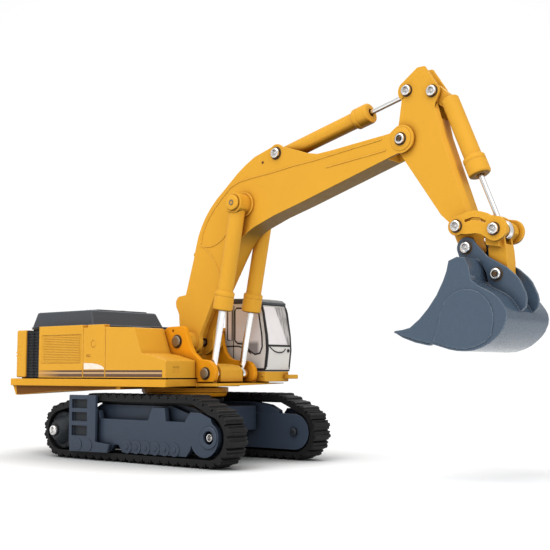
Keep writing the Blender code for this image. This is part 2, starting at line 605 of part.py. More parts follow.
def arm(body):
    tail = arc(ARM_TAIL, 2.4, 235, 135, 6)
    crown = [(73.4, 89.0), (75.2, 89.0)]
    head = arc(BUCKET_CYLINDER_BASE, 1.75, 40, -25, 4)
    front = [(78.0, 80.6), (78.9, 77.6), (80.0, 72.7), (85.8, 55.9), (86.6, 52.6)]
    nose = arc(BUCKET_PIVOT, 2.0, 35, -150, 8)
    heel = arc(LINK_ARM, 2.3, 220, 165, 3)
    back = [(79.6, 55.6), (68.6, 70.4)]
    elbow = arc(BOOM_TIP, 3.1, 215, 140, 5)
    outline = tail + crown + head + front + nose + heel + back + elbow + [(68.4, 77.6), (69.0, 80.6)]
    y0, y1 = MID_Y - ARM_HALF, MID_Y + ARM_HALF
    stick = side_prism("arm", body, "yellow", outline, y0, y1)
    slot = [(66.0, 79.4), (80.5, 76.5), (82.0, 79.0), (82.0, 92.0), (66.0, 92.0)]
    cut(stick, side_prism("cut_arm_tail", body, "yellow", slot, MID_Y - 1.3, MID_Y + 1.3))
    for at in (ARM_TAIL, BUCKET_CYLINDER_BASE, BOOM_TIP, LINK_ARM, BUCKET_PIVOT):
        bore(stick, body, at, PIN_BORE, y0 - 1, y1 + 1)
    for name, at, reach in (
        ("arm_tail_pin", ARM_TAIL, ARM_HALF + GAP),
        ("bucket_cylinder_base_pin", BUCKET_CYLINDER_BASE, ARM_HALF + GAP),
        ("idler_link_pin", LINK_ARM, LINK_PIN_REACH),
        ("bucket_pivot_pin", BUCKET_PIVOT, RIB_OUT + GAP),
    ):
        rivet(name, body, at, MID_Y - reach, MID_Y + reach)


def arm_cylinder(barrel_body, rod_body):
    base, along, length = line(ARM_CYLINDER_BASE, ARM_TAIL, MID_Y)
    tube = barrel_profile(0.2, 26.6, 4.2, THIN_ROD_R + GAP, 5.0)
    barrel = turned("arm_barrel", barrel_body, "yellow", base, along, tube)
    eye = (ARM_CYLINDER_BASE, 1.9, MID_Y - 1.9, MID_Y + 1.9)
    join(barrel, pin_y("add_arm_barrel_eye", barrel_body, "yellow", *eye))
    bore(barrel, barrel_body, ARM_CYLINDER_BASE, PIN_BORE, MID_Y - 3, MID_Y + 3)
    shaft = shaft_profile(9.0, length - LOOSE_BORE, THIN_ROD_R)
    rod = turned("arm_rod", rod_body, "chrome", base, along, shaft)
    join(rod, pin_y("add_arm_rod_eye", rod_body, "chrome", ARM_TAIL, THIN_EYE_R, MID_Y - 1.0, MID_Y + 1.0))
    bore(rod, rod_body, ARM_TAIL, LOOSE_BORE, MID_Y - 2, MID_Y + 2)


def bucket_cylinder(barrel_body, rod_body):
    top, down, length = line(BUCKET_BARREL_TOP, LINK_ROD, MID_Y)
    tube = barrel_profile(1.8, 20.9, 4.2, THIN_ROD_R + GAP, 4.5)
    barrel = turned("bucket_barrel", barrel_body, "yellow", top, down, tube)
    ear = arc(BUCKET_CYLINDER_BASE, 1.7, 60, 235, 8) + [(79.6, 78.9), (81.4, 79.6), (80.3, 82.3)]
    join(barrel, side_prism("add_bucket_barrel_ear", barrel_body, "yellow", ear, MID_Y - 1.0, MID_Y + 1.0))
    bore(barrel, barrel_body, BUCKET_CYLINDER_BASE, PIN_BORE, MID_Y - 3, MID_Y + 3)
    shaft = shaft_profile(11.0, length - LOOSE_BORE, THIN_ROD_R)
    rod = turned("bucket_rod", rod_body, "chrome", top, down, shaft)
    join(rod, pin_y("add_bucket_rod_eye", rod_body, "chrome", LINK_ROD, THIN_EYE_R, MID_Y - 0.9, MID_Y + 0.9))
    bore(rod, rod_body, LINK_ROD, LOOSE_BORE, MID_Y - 2, MID_Y + 2)


# ---------------------------------------------------------------- linkage and bucket


def linkage(idler_body, link_body):
    """Two arched idler links outside the arm, and the forked link from them down to the bucket."""
    arch = [(84.9, 54.9), (87.0, 55.4), (89.4, 55.1), (91.8, 54.2)]
    belly = [(90.4, 49.6), (88.2, 50.6), (86.2, 50.6)]
    outline = arc(LINK_ARM, 2.0, 300, 120, 9) + arch + arc((92.5, 51.3), 2.6, 70, -120, 9) + belly
    slot = [(85.6, 53.6), (87.3, 54.0), (89.0, 53.8), (90.6, 53.0)]
    slot += [(90.4, 52.6), (88.9, 53.3), (87.3, 53.5), (85.7, 53.1)]
    for side, sign in (("right", -1), ("left", 1)):
        y0, y1 = MID_Y + sign * IDLER_IN, MID_Y + sign * IDLER_OUT
        link = side_prism(f"idler_link_{side}", idler_body, "yellow", outline, y0, y1)
        cut(link, side_prism(f"cut_idler_slot_{side}", idler_body, "yellow", slot, y0 - sign, y1 + sign))
        for at in (LINK_ARM, LINK_ROD):
            bore(link, idler_body, at, PIN_BORE, y0 - sign, y1 + sign)
    rivet("link_rod_pin", idler_body, LINK_ROD, MID_Y - LINK_PIN_REACH, MID_Y + LINK_PIN_REACH)

    head = arc(LINK_ROD, 2.0, -20, 200, 10) + [(89.6, 49.4), (89.8, 48.2), (92.8, 47.6), (92.7, 49.0)]
    stem = [(90.4, 50.0), (89.7, 47.5), (89.9, 44.0)] + arc(BUCKET_LINK, 1.95, 200, 380, 10)
    stem += [(93.3, 44.5), (92.9, 47.0), (92.7, 50.0)]
    link = side_prism("bucket_link", link_body, "yellow", stem, MID_Y - LINK_HALF, MID_Y + LINK_HALF)
    join(link, side_prism("add_bucket_link_head", link_body, "yellow", head, MID_Y - 3.1, MID_Y + 3.1))
    fork = arc(LINK_ROD, 3.1, 0, 360, 20)[:-1]
    cut(link, side_prism("cut_bucket_link_fork", link_body, "yellow", fork, MID_Y - 1.2, MID_Y + 1.2))
    bore(link, link_body, LINK_ROD, PIN_BORE, MID_Y - 4, MID_Y + 4)
    bore(link, link_body, BUCKET_LINK, LOOSE_BORE, MID_Y - 4, MID_Y + 4)


def bucket(body):
    """A deep shell with a round drum, two hinge ribs that run down its back, and teeth along its lip."""
    mouth = [(71.1, 30.4), (71.2, 30.8), (75.0, 31.4), (79.4, 35.2), (83.1, 40.8), (84.4, 44.8)]
    back = [(86.3, 45.5), (88.0, 45.3), (89.0, 43.4), (89.5, 40.6), (91.2, 39.3), (94.0, 37.9), (96.6, 35.4)]
    drum = [(97.2, 33.2), (96.4, 30.8), (94.6, 28.8), (91.7, 27.0), (87.8, 26.3), (84.3, 26.7), (80.5, 27.8)]
    outer = (mouth + back + drum + [(76.0, 28.9)])[::-1]
    y0, y1, wall = BUCKET_RIGHT, BUCKET_LEFT, 0.9
    shell = side_prism("bucket", body, "slate", outer, y0, y1)
    shut = (mouth[5:] + back + drum + [(76.0, 28.9)] + mouth[:1])[::-1]
    inside = inset(shut, wall)[1:-1] + [(78.0, 46.0), (69.0, 40.0), (69.0, 32.0)]
    cut(shell, side_prism("cut_bucket_inside", body, "slate", inside, y0 + wall, y1 - wall))
    ear = arc(BUCKET_PIVOT, 2.25, 205, 25, 10) + [(88.6, 47.5), (89.7, 46.1), (92.1, 44.7), (94.3, 43.4)]
    rib = [(96.3, 41.6), (97.8, 39.2), (FRONT_END, 36.8), (98.4, 35.2), (97.4, 34.2), (96.5, 34.2)]
    root = [(95.3, 36.4), (92.0, 38.0), (90.4, 39.6), (89.7, 42.5), (88.4, 44.9), (85.2, 44.3), (84.0, 44.9)]
    for side, sign in (("right", -1), ("left", 1)):
        near, far = MID_Y + sign * (ARM_HALF + GAP), MID_Y + sign * RIB_OUT
        join(shell, side_prism(f"add_bucket_rib_{side}", body, "slate", ear + rib + root, near, far))
    bore(shell, body, BUCKET_PIVOT, PIN_BORE, MID_Y - 5, MID_Y + 5)
    bore(shell, body, BUCKET_LINK, PIN_BORE, MID_Y - 5, MID_Y + 5)
    teeth, tooth = 5, 2.2
    pitch = (BUCKET_LEFT - BUCKET_RIGHT - tooth) / (teeth - 1)
    notch = [(70.0, 28.0), (73.4, 28.0), (73.4, 33.0), (70.0, 33.0)]
    for number in range(teeth - 1):
        start = BUCKET_RIGHT + tooth + number * pitch
        cut(shell, side_prism(f"cut_tooth_gap_{number}", body, "slate", notch, start, start + pitch - tooth))
    rivet("bucket_link_pin", body, BUCKET_LINK, MID_Y - RIB_OUT - GAP, MID_Y + RIB_OUT + GAP)


def main():
    clear_scene()
    root = pivot("undercarriage_origin")
    upper = pivot("slew_axis")
    tracks(root)
    chassis(root)
    deck(upper)
    house(upper)
    rear_end(upper)
    engine_hood(upper)
    boom_brackets(upper)
    cab(upper)
    pivots = {
        "boom": BOOM_FOOT,
        "boom_rods": ROD_FOOT,
        "boom_barrels": BARREL_TOP,
        "arm": BOOM_TIP,
        "arm_barrel": ARM_CYLINDER_BASE,
        "arm_rod": ARM_TAIL,
        "bucket_barrel": BUCKET_CYLINDER_BASE,
        "bucket_rod": LINK_ROD,
        "idler_links": LINK_ARM,
        "bucket_link": LINK_ROD,
        "bucket": BUCKET_PIVOT,
    }
    axis = {name: pivot(f"{name}_axis", x, MID_Y, z) for name, (x, z) in pivots.items()}
    boom(axis["boom"])
    boom_cylinders(axis["boom_rods"], axis["boom_barrels"])
    arm(axis["arm"])
    arm_cylinder(axis["arm_barrel"], axis["arm_rod"])
    bucket_cylinder(axis["bucket_barrel"], axis["bucket_rod"])
    linkage(axis["idler_links"], axis["bucket_link"])
    bucket(axis["bucket"])


main()
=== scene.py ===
import math

import bpy
import bmesh
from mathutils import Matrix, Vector


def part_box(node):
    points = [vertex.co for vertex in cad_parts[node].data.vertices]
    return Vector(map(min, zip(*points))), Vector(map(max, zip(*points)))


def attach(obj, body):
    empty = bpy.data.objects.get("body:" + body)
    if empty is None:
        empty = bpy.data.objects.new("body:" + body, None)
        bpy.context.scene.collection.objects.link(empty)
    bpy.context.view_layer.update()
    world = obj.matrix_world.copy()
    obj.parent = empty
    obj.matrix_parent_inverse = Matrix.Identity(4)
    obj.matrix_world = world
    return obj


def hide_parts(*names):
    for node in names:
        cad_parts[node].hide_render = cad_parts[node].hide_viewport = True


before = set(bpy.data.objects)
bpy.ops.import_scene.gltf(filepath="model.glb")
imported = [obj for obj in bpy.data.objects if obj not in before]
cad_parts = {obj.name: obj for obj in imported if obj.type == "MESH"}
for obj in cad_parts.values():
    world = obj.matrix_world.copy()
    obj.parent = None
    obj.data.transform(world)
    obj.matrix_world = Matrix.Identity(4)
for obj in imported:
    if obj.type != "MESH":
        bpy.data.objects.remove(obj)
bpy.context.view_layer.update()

MM = 0.001
UP = (0, 0, 1)
SIDES = (("right", -1), ("left", 1))

# Lengths are in millimetres about the slew axis, as in the CAD; SHIFT takes them to the row frame.
slew_low, slew_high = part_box("turntable")
SHIFT = Vector(((slew_low.x + slew_high.x) / 2 / MM, 0, 0))


def middle(node):
    low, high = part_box(node)
    return (low + high) / 2 / MM - SHIFT


def pivot_of(node):
    at = middle(node)
    return (at.x, at.z)


MID_Y = middle("arm_tail_pin").y
BOOM_FOOT = pivot_of("boom_foot_pin")
ROD_FOOT = pivot_of("boom_rod_foot_pin")
BARREL_TOP = pivot_of("boom_cylinder_top_pin")
BOOM_TIP = pivot_of("boom_tip_pin")
ARM_CYLINDER_BASE = pivot_of("arm_cylinder_base_pin")
ARM_TAIL = pivot_of("arm_tail_pin")
BUCKET_CYLINDER_BASE = pivot_of("bucket_cylinder_base_pin")
LINK_ARM = pivot_of("idler_link_pin")
LINK_ROD = pivot_of("link_rod_pin")
BUCKET_PIVOT = pivot_of("bucket_pivot_pin")
BUCKET_LINK = pivot_of("bucket_link_pin")

# ---------------------------------------------------------------- shapes


def both(half):
    """The two Y planes at a distance from the equipment's middle, each with its outward direction."""
    return ((MID_Y - half, -1), (MID_Y + half, 1))


def both_named(low, high):
    """Two Y planes as (side's name, y, outward direction)."""
    return (("right", low, -1), ("left", high, 1))


def skin(y, out, above, below):
    """The Y range of something thin that lies on the plane Y = y."""
    return sorted((y + out * above, y - out * below))


def arc(centre, radius, start, end, steps=None):
    """Points along a circle, between two angles in degrees."""
    steps = steps or max(2, round(abs(end - start) / 9))
    angles = [math.radians(start + (end - start) * i / steps) for i in range(steps + 1)]
    return [(centre[0] + radius * math.cos(a), centre[1] + radius * math.sin(a)) for a in angles]


def raw(bm):
    """A plain object from a bmesh in millimetres."""
    bmesh.ops.recalc_face_normals(bm, faces=bm.faces)
    for vert in bm.verts:
        vert.co = (vert.co + SHIFT) * MM
    mesh = bpy.data.meshes.new("tool")
    bm.to_mesh(mesh)
    bm.free()
    obj = bpy.data.objects.new("tool", mesh)
    bpy.context.scene.collection.objects.link(obj)
    return obj


def loft_into(bm, rings):
    """Walls between rings of equally many points, and a cap at each end."""
    rows = [[bm.verts.new(p) for p in ring] for ring in rings]
    for low, high in zip(rows, rows[1:]):
        for i in range(len(low)):
            j = (i + 1) % len(low)
            bm.faces.new((low[i], low[j], high[j], high[i]))
    bm.faces.new(rows[0][::-1])
    bm.faces.new(rows[-1])


def side(outline, y0, y1, inner=None):
    """An XZ outline extruded along Y. An inner outline gives the far end."""
    bm = bmesh.new()
    loft_into(bm, [[(x, y0, z) for x, z in outline], [(x, y1, z) for x, z in inner or outline]])
    return raw(bm)


def plan(outline, z0, z1, top=None):
    """An XY outline extruded upwards. A top outline gives the upper end."""
    bm = bmesh.new()
    loft_into(bm, [[(x, y, z0) for x, y in outline], [(x, y, z1) for x, y in top or outline]])
    return raw(bm)


def block(x, y, z):
    return side([(x[0], z[0]), (x[1], z[0]), (x[1], z[1]), (x[0], z[1])], *y)


def blocks(*boxes):
    """Several separate boxes as one tool."""
    bm = bmesh.new()
    for x, y, z in boxes:
        loft_into(bm, [[(x[0], v, z[0]), (x[1], v, z[0]), (x[1], v, z[1]), (x[0], v, z[1])] for v in y])
    return raw(bm)


def lathe(base, along, profile, segments=48, closed=False):
    """A profile of (distance, radius) points turned round an axis."""
    axis = Vector(along).normalized()
    across = axis.orthogonal().normalized()
    other = axis.cross(across)
    turns = [2 * math.pi * i / segments for i in range(segments)]
    spokes = [across * math.cos(a) + other * math.sin(a) for a in turns]
    bm = bmesh.new()
    rings = []
    for distance, radius in profile:
        centre = Vector(base) + axis * distance
        if radius == 0:
            rings.append([bm.verts.new(centre)])
        else:
            rings.append([bm.verts.new(centre + radius * spoke) for spoke in spokes])
    pairs = list(zip(rings, rings[1:])) + ([(rings[-1], rings[0])] if closed else [])
    for low, high in pairs:
        for i in range(segments):
            j = (i + 1) % segments
            corners = [low[i % len(low)], low[j % len(low)], high[j % len(high)], high[i % len(high)]]
            bm.faces.new(list(dict.fromkeys(corners)))
    return raw(bm)


def turned(at, y, out, profile, segments=48, closed=False):
    """A profile turned round the Y axis through the point (x, z)."""
    return lathe((at[0], y, at[1]), (0, out, 0), profile, segments, closed)


def bar(start, end, radius):
    """The profile of a plain round bar."""
    return [(start, 0), (start, radius), (end, radius), (end, 0)]


def rod_y(at, radius, y0, y1, segments=40):
    return turned(at, y0, 1, bar(0, y1 - y0, radius), segments)


def bosses(points, radius, y0, y1, segments=20):
    """Several separate discs along Y as one tool."""
    bm = bmesh.new()
    for at in points:
        ring = arc(at, radius, 0, 360, segments)[:-1]
        loft_into(bm, [[(x, y0, z) for x, z in ring], [(x, y1, z) for x, z in ring]])
    return raw(bm)


def ribbon(points, width, y0, y1):
    """A narrow strip that follows a line of (x, z) points, between two Y planes."""
    left, right = [], []
    for i, point in enumerate(points):
        before, after = Vector(points[max(i - 1, 0)]), Vector(points[min(i + 1, len(points) - 1)])
        along = (after - before).normalized()
        normal = Vector((-along.y, along.x)) * width / 2
        left.append(tuple(Vector(point) + normal))
        right.append(tuple(Vector(point) - normal))
    return side(left + right[::-1], y0, y1)


def bead(points, y, radius=0.2, sides=8):
    """A round bead along a line of (x, z) points, its middle on the plane Y = y."""
    bm = bmesh.new()
    rings = []
    for i, point in enumerate(points):
        before, after = Vector(points[max(i - 1, 0)]), Vector(points[min(i + 1, len(points) - 1)])
        along = (after - before).normalized()
        across = Vector((-along.y, along.x))
        ring = []
        for turn in (2 * math.pi * k / sides for k in range(sides)):
            at = Vector(point) + across * radius * math.cos(turn)
            ring.append((at.x, y + radius * math.sin(turn), at.y))
        rings.append(ring)
    loft_into(bm, rings)
    return raw(bm)


def inset(outline, distance):
    """The outline moved inwards by a distance. Its points run anticlockwise."""
    moved = []
    for before, here, after in zip(outline[-1:] + outline, outline, outline[1:] + outline[:1]):
        first = (Vector(here) - Vector(before)).normalized()
        second = (Vector(after) - Vector(here)).normalized()
        normal = Vector((-first.y - second.y, first.x + second.x)).normalized()
        moved.append(tuple(Vector(here) + normal * distance / normal.dot(Vector((-first.y, first.x)))))
    return moved


def operate(obj, operation, tools):
    """Adds one boolean modifier per tool."""
    for tool in tools:
        modifier = obj.modifiers.new("boolean", "BOOLEAN")
        modifier.operation = operation
        modifier.object = tool
        modifier.solver = "EXACT"


def bake(obj, tools):
    """Applies all modifiers and removes the tools."""
    graph = bpy.context.evaluated_depsgraph_get()
    mesh = bpy.data.meshes.new_from_object(obj.evaluated_get(graph), depsgraph=graph)
    obj.modifiers.clear()
    obj.data = mesh
    for tool in tools:
        bpy.data.objects.remove(tool, do_unlink=True)


def finish(name, obj, body, look, nodes=(), cut=(), add=(), bevel=0.12, steps=2, sharp=32):
    """Joins and cuts a piece, rounds its edges, paints it, and puts it on its body."""
    operate(obj, "UNION", add)
    operate(obj, "DIFFERENCE", cut)
    if cut or add:
        weld = obj.modifiers.new("weld", "WELD")
        weld.merge_threshold = 0.004 * MM
    if bevel:
        modifier = obj.modifiers.new("bevel", "BEVEL")
        modifier.width = bevel * MM
        modifier.segments = steps
        modifier.limit_method = "ANGLE"
        modifier.angle_limit = math.radians(sharp)
        modifier.use_clamp_overlap = False
        modifier.miter_outer = "MITER_ARC"
        modifier.harden_normals = False
    bake(obj, (*cut, *add))
    obj.data.shade_smooth()
    obj.data.set_sharp_from_angle(angle=math.radians(46 if bevel else sharp))
    weighted = obj.modifiers.new("normals", "WEIGHTED_NORMAL")
    weighted.keep_sharp = True
    bake(obj, ())
    obj.name = name
    obj.data.name = name
    obj.data.materials.clear()
    obj.data.materials.append(look)
    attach(obj, body)
    if nodes:
        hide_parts(*nodes)
    return obj


# ---------------------------------------------------------------- materials

EDGE_RADIUS = 0.25
# Painted shade on metal: the first colour in corners and gaps, the second on faces that look down.
METAL_CORNER_SHADE, METAL_UNDERSIDE_SHADE = (0.10, 0.09, 0.08), (0.10, 0.075, 0.055)
EDGE_YELLOW, PRINT_WORN = (0.90, 0.56, 0.12), (0.62, 0.30, 0.04)


def add_node(tree, kind, links=None, **settings):
    made = tree.nodes.new(kind)
    for key, value in settings.items():
        setattr(made, key, value)
    for key, value in (links or {}).items():
        socket = made.inputs[key]
        if isinstance(value, bpy.types.NodeSocket):
            tree.links.new(value, socket)
        else:
            socket.default_value = value
    return made


def start_look(name, slot):
    made = bpy.data.materials.new(name)
    made.use_nodes = True
    made["slot"] = slot
    tree = made.node_tree
    shader = tree.nodes["Principled BSDF"]
    place = add_node(tree, "ShaderNodeTexCoord").outputs["Object"]
    return made, tree, shader, place


def noise(tree, place, scale, detail=3.0, rough=0.55):
    return add_node(
        tree, "ShaderNodeTexNoise", {"Vector": place, "Scale": scale, "Detail": detail, "Roughness": rough},
    ).outputs["Fac"]


def remap(tree, value, low, high, out_low, out_high):
    """A value taken from one range to another, and clamped there."""
    links = {"Value": value, "From Min": low, "From Max": high, "To Min": out_low, "To Max": out_high}
    return add_node(tree, "ShaderNodeMapRange", links).outputs["Result"]


def weaken(tree, mask, most):
    """A mask from 0 to 1, weakened so that it goes from 0 to most."""
    return remap(tree, mask, 0.0, 1.0, 0.0, most)


def compute(tree, operation, first, second):
    return add_node(tree, "ShaderNodeMath", {0: first, 1: second}, operation=operation).outputs["Value"]


def split_xyz(tree, vector):
    return add_node(tree, "ShaderNodeSeparateXYZ", {"Vector": vector}).outputs


def normal_z(tree):
    """Height part of the surface's normal: -1 on a face that looks straight down."""
    return split_xyz(tree, add_node(tree, "ShaderNodeNewGeometry").outputs["Normal"])["Z"]


def drive(tree, shader, **values):
    """Links values to the shader's sockets, named with underscores for spaces."""
    for name, value in values.items():
        tree.links.new(value, shader.inputs[name.replace("_", " ")])


def shaded(colour, factor):
    return tuple(c * factor for c in colour)


def mix(tree, factor, first, second):
    made = add_node(tree, "ShaderNodeMix", data_type="RGBA")
    for index, value in ((0, factor), (6, first), (7, second)):
        if isinstance(value, bpy.types.NodeSocket):
            tree.links.new(value, made.inputs[index])
        else:
            made.inputs[index].default_value = value if index == 0 else (*value, 1.0)
    return made.outputs[2]


def edge_mask(tree, place, radius, breakup=700.0):
    """Near 1 on an edge and 0 on a flat, broken up by noise."""
    rounded = add_node(tree, "ShaderNodeBevel", {"Radius": radius * MM}, samples=4).outputs["Normal"]
    flat = add_node(tree, "ShaderNodeNewGeometry").outputs["Normal"]
    dot = add_node(
        tree, "ShaderNodeVectorMath", {0: rounded, 1: flat}, operation="DOT_PRODUCT",
    ).outputs["Value"]
    edge = remap(tree, dot, 0.995, 0.90, 0.0, 1.0)
    grain = remap(tree, noise(tree, place, breakup), 0.35, 0.65, 0.25, 1.0)
    return compute(tree, "MULTIPLY", edge, grain)


def crevice_mask(tree, distance, low=0.35, high=0.95):
    """Near 1 in a corner or a gap and 0 in the open."""
    shade = add_node(tree, "ShaderNodeAmbientOcclusion", {"Distance": distance * MM}, samples=6).outputs["AO"]
    return remap(tree, shade, high, low, 0.0, 1.0)


def bump(tree, height, strength, distance):
    return add_node(
        tree, "ShaderNodeBump", {"Height": height, "Strength": strength, "Distance": distance * MM},
    ).outputs["Normal"]


def moulded(
    name, slot, colour, deep, worn, rough, under=None, grain=1500.0, relief=0.02, coat=0.0, broad=0.06,
    edge=0.5, dark=0.8, reach=2.2, gloss=0.25,
):
    """Painted or moulded surface: cloudy colour, a fine skin, painted shade in corners and on faces that look
    down, and lighter edges, partly worn paint and partly a painted highlight.
    """
    made, tree, shader, place = start_look(name, slot)
    clouds = noise(tree, place, 55.0, 2.0)
    specks = noise(tree, place, 650.0, 4.0, 0.7)
    fine = noise(tree, place, grain, 2.0)
    base = mix(tree, clouds, shaded(colour, 1 - broad), shaded(colour, 1 + broad))
    base = mix(tree, remap(tree, specks, 0.60, 0.78, 0.0, 0.4), base, shaded(colour, 0.84))
    # Painted shade: the under colour on faces that look down.
    if under:
        base = mix(tree, remap(tree, normal_z(tree), -0.45, -0.85, 0.0, 0.97), base, under)
    # Painted shade: the deep colour in corners and gaps, from ambient occlusion.
    base = mix(tree, weaken(tree, crevice_mask(tree, reach), dark), base, deep)
    # Lighter edges: partly worn paint, partly a painted highlight where edges catch the light.
    base = mix(tree, weaken(tree, edge_mask(tree, place, EDGE_RADIUS), edge), base, worn)
    roughness = remap(tree, specks, 0.3, 0.8, rough - 0.05, rough + 0.10)
    drive(tree, shader, Base_Color=base, Roughness=roughness, Normal=bump(tree, fine, 0.35, relief))
    shader.inputs["Specular IOR Level"].default_value = gloss
    if coat:
        shader.inputs["Coat Weight"].default_value = coat
        shader.inputs["Coat Roughness"].default_value = 0.18
    return made


def bright_metal(name, slot, colour, rough):
    """Plated or bare metal: fine scratches, duller patches, and painted shade in corners and on what looks
    down.
    """
    made, tree, shader, place = start_look(name, slot)
    scratches = noise(tree, place, 2500.0, 3.0, 0.6)
    patches = noise(tree, place, 250.0, 3.0)
    base = mix(tree, remap(tree, patches, 0.35, 0.7, 0.0, 1.0), colour, shaded(colour, 0.9))
    # Painted shade in corners and gaps.
    base = mix(tree, weaken(tree, crevice_mask(tree, 0.7), 0.75), base, METAL_CORNER_SHADE)
    # Painted shade on faces that look down.
    base = mix(tree, remap(tree, normal_z(tree), -0.45, -0.75, 0.0, 0.9), base, METAL_UNDERSIDE_SHADE)
    roughness = remap(tree, patches, 0.3, 0.7, rough, rough + 0.10)
    drive(tree, shader, Base_Color=base, Roughness=roughness, Normal=bump(tree, scratches, 0.25, 0.006))
    shader.inputs["Metallic"].default_value = 1.0
    return made


def clear_plastic(name, slot):
    """Milky clear plastic, with painted shade of the dark inside below the seat's top, and painted shade in
    streaks down the windscreen's left side.
    """
    made, tree, shader, place = start_look(name, slot)
    smears = noise(tree, place, 120.0, 3.0)
    axes = split_xyz(tree, place)
    lean, streak_edge, seat_top, front = 0.34, 26.6, 30.4, 18.2 + SHIFT.x
    across = compute(tree, "ADD", axes["Y"], compute(tree, "MULTIPLY", axes["Z"], lean))
    left_mask = remap(tree, across, streak_edge * MM, (streak_edge + 0.6) * MM, 0.0, 1.0)
    front_mask = remap(tree, axes["X"], front * MM, (front + 0.4) * MM, 0.0, 1.0)
    tilt = {"Vector": place, "Rotation": (0.45, 0, 0), "Scale": (1.0, 2600.0, 260.0)}
    tilted = add_node(tree, "ShaderNodeMapping", tilt).outputs["Vector"]
    streaks = remap(tree, noise(tree, tilted, 1.0, 2.0), 0.35, 0.65, 0.35, 1.0)
    # Painted shade in streaks down the windscreen's left side.
    shade = compute(tree, "MULTIPLY", compute(tree, "MULTIPLY", left_mask, front_mask), streaks)
    # Painted shade of the dark inside, on the side panes below the seat's top.
    seat_mask = remap(tree, axes["Z"], seat_top * MM, (seat_top - 1) * MM, 0.0, 1.0)
    side_face = remap(tree, axes["X"], front * MM, (front - 1) * MM, 0.0, 0.75)
    low = compute(tree, "MULTIPLY", seat_mask, side_face)
    tint = mix(tree, smears, (0.84, 0.79, 0.79), (0.90, 0.86, 0.86))
    tint = mix(tree, low, tint, (0.13, 0.12, 0.125))
    drive(
        tree, shader,
        Base_Color=mix(tree, shade, tint, (0.20, 0.185, 0.17)),
        Roughness=remap(tree, smears, 0.3, 0.7, 0.08, 0.20),
        Alpha=remap(tree, smears, 0.3, 0.7, 0.90, 0.95),
        Normal=bump(tree, noise(tree, place, 300.0, 1.0), 0.15, 0.02),
    )
    return made


# In each moulded look below, the deep colour is painted shade in corners and gaps, the under colour is
# painted shade on faces that look down, and the worn colour lightens edges partly as worn paint and partly as
# a painted highlight.
YELLOW = moulded(
    "yellow_paint", "yellow", (0.665, 0.332, 0.031), (0.30, 0.085, 0.005), EDGE_YELLOW, 0.42,
    under=(0.125, 0.066, 0.004), dark=0.8, reach=1.8, edge=0.4, gloss=0.09,
)
# Its deep colour reaches far, as painted shade under the deck's rim.
DECK_YELLOW = moulded(
    "deck_paint", "yellow", (0.67, 0.325, 0.029), (0.26, 0.070, 0.004), EDGE_YELLOW, 0.5,
    under=(0.20, 0.095, 0.008), dark=0.95, reach=5.0, edge=0.35, gloss=0.03,
)
# A dark copy of the yellow: painted shadow for the wedge's side under the deck's rim.
SHADED_YELLOW = moulded(
    "wedge_painted_shade", "yellow", (0.15, 0.055, 0.008), (0.09, 0.030, 0.003), (0.40, 0.17, 0.03), 0.5,
    dark=0.9, reach=2.5, edge=0.3, gloss=0.08,
)
# A deeper orange copy of the yellow: painted shade on the bracket plates and the turntable ring.
BRACKET_SHADED_YELLOW = moulded(
    "bracket_shaded_paint", "yellow", (0.72, 0.285, 0.008), (0.26, 0.065, 0.004), (0.90, 0.50, 0.08), 0.42,
    under=(0.12, 0.060, 0.006), dark=0.85, edge=0.4, gloss=0.12,
)
SLATE = moulded(
    "slate_paint", "slate", (0.036, 0.050, 0.076), (0.006, 0.009, 0.015), (0.13, 0.16, 0.20), 0.42,
    edge=0.45, dark=0.9,
)
HOOD_SLATE = moulded(
    "hood_paint", "slate", (0.052, 0.058, 0.068), (0.012, 0.013, 0.016), (0.16, 0.165, 0.17), 0.46,
    edge=0.4,
)
WHEEL_SLATE = moulded(
    "wheel_plastic", "slate", (0.016, 0.020, 0.025), (0.003, 0.004, 0.005), (0.060, 0.068, 0.076), 0.48,
    edge=0.4,
)
GLOSS_SLATE = moulded(
    "bucket_paint", "slate", (0.058, 0.086, 0.124), (0.006, 0.010, 0.024), (0.36, 0.42, 0.50), 0.24,
    coat=0.3, edge=0.5, dark=0.9,
)
RUBBER = moulded(
    "belt_rubber", "rubber", (0.006, 0.006, 0.0065), (0.002, 0.002, 0.002), (0.026, 0.026, 0.027), 0.62,
    grain=2500.0, relief=0.04,
)
BLACK = moulded(
    "black_plastic", "black", (0.010, 0.010, 0.012), (0.002, 0.002, 0.002), (0.05, 0.05, 0.055), 0.45,
)
CAB_SILVER = moulded(
    "cab_silver", "cab", (0.70, 0.68, 0.645), (0.20, 0.19, 0.19), (0.82, 0.81, 0.80), 0.34,
    broad=0.03, dark=0.45,
)
TRIM = moulded(
    "window_trim", "black", (0.018, 0.017, 0.019), (0.004, 0.004, 0.005), (0.05, 0.05, 0.055), 0.40,
)
ROOF_TRIM = moulded(
    "roof_trim", "slate", (0.060, 0.064, 0.070), (0.015, 0.016, 0.02), (0.16, 0.16, 0.17), 0.42,
)
# Dark brown: real dark joints and marks, and painted shadow and shade round and in the rivet heads.
DARK_MARK_AND_SHADE = moulded("dark_mark_and_shade", "steel", (0.085, 0.046, 0.018), (0.014, 0.009, 0.005), (0.20, 0.12, 0.05), 0.45)
CHROME = bright_metal("plated_rod", "chrome", (0.92, 0.92, 0.91), 0.16)
RIVET = bright_metal("bright_rivet", "steel", (0.86, 0.85, 0.84), 0.20)
DULL_RIVET = bright_metal("painted_over_rivet", "steel", (0.30, 0.25, 0.19), 0.42)
CLEAR = clear_plastic("clear_insert", "clear")


# ---------------------------------------------------------------- tracks

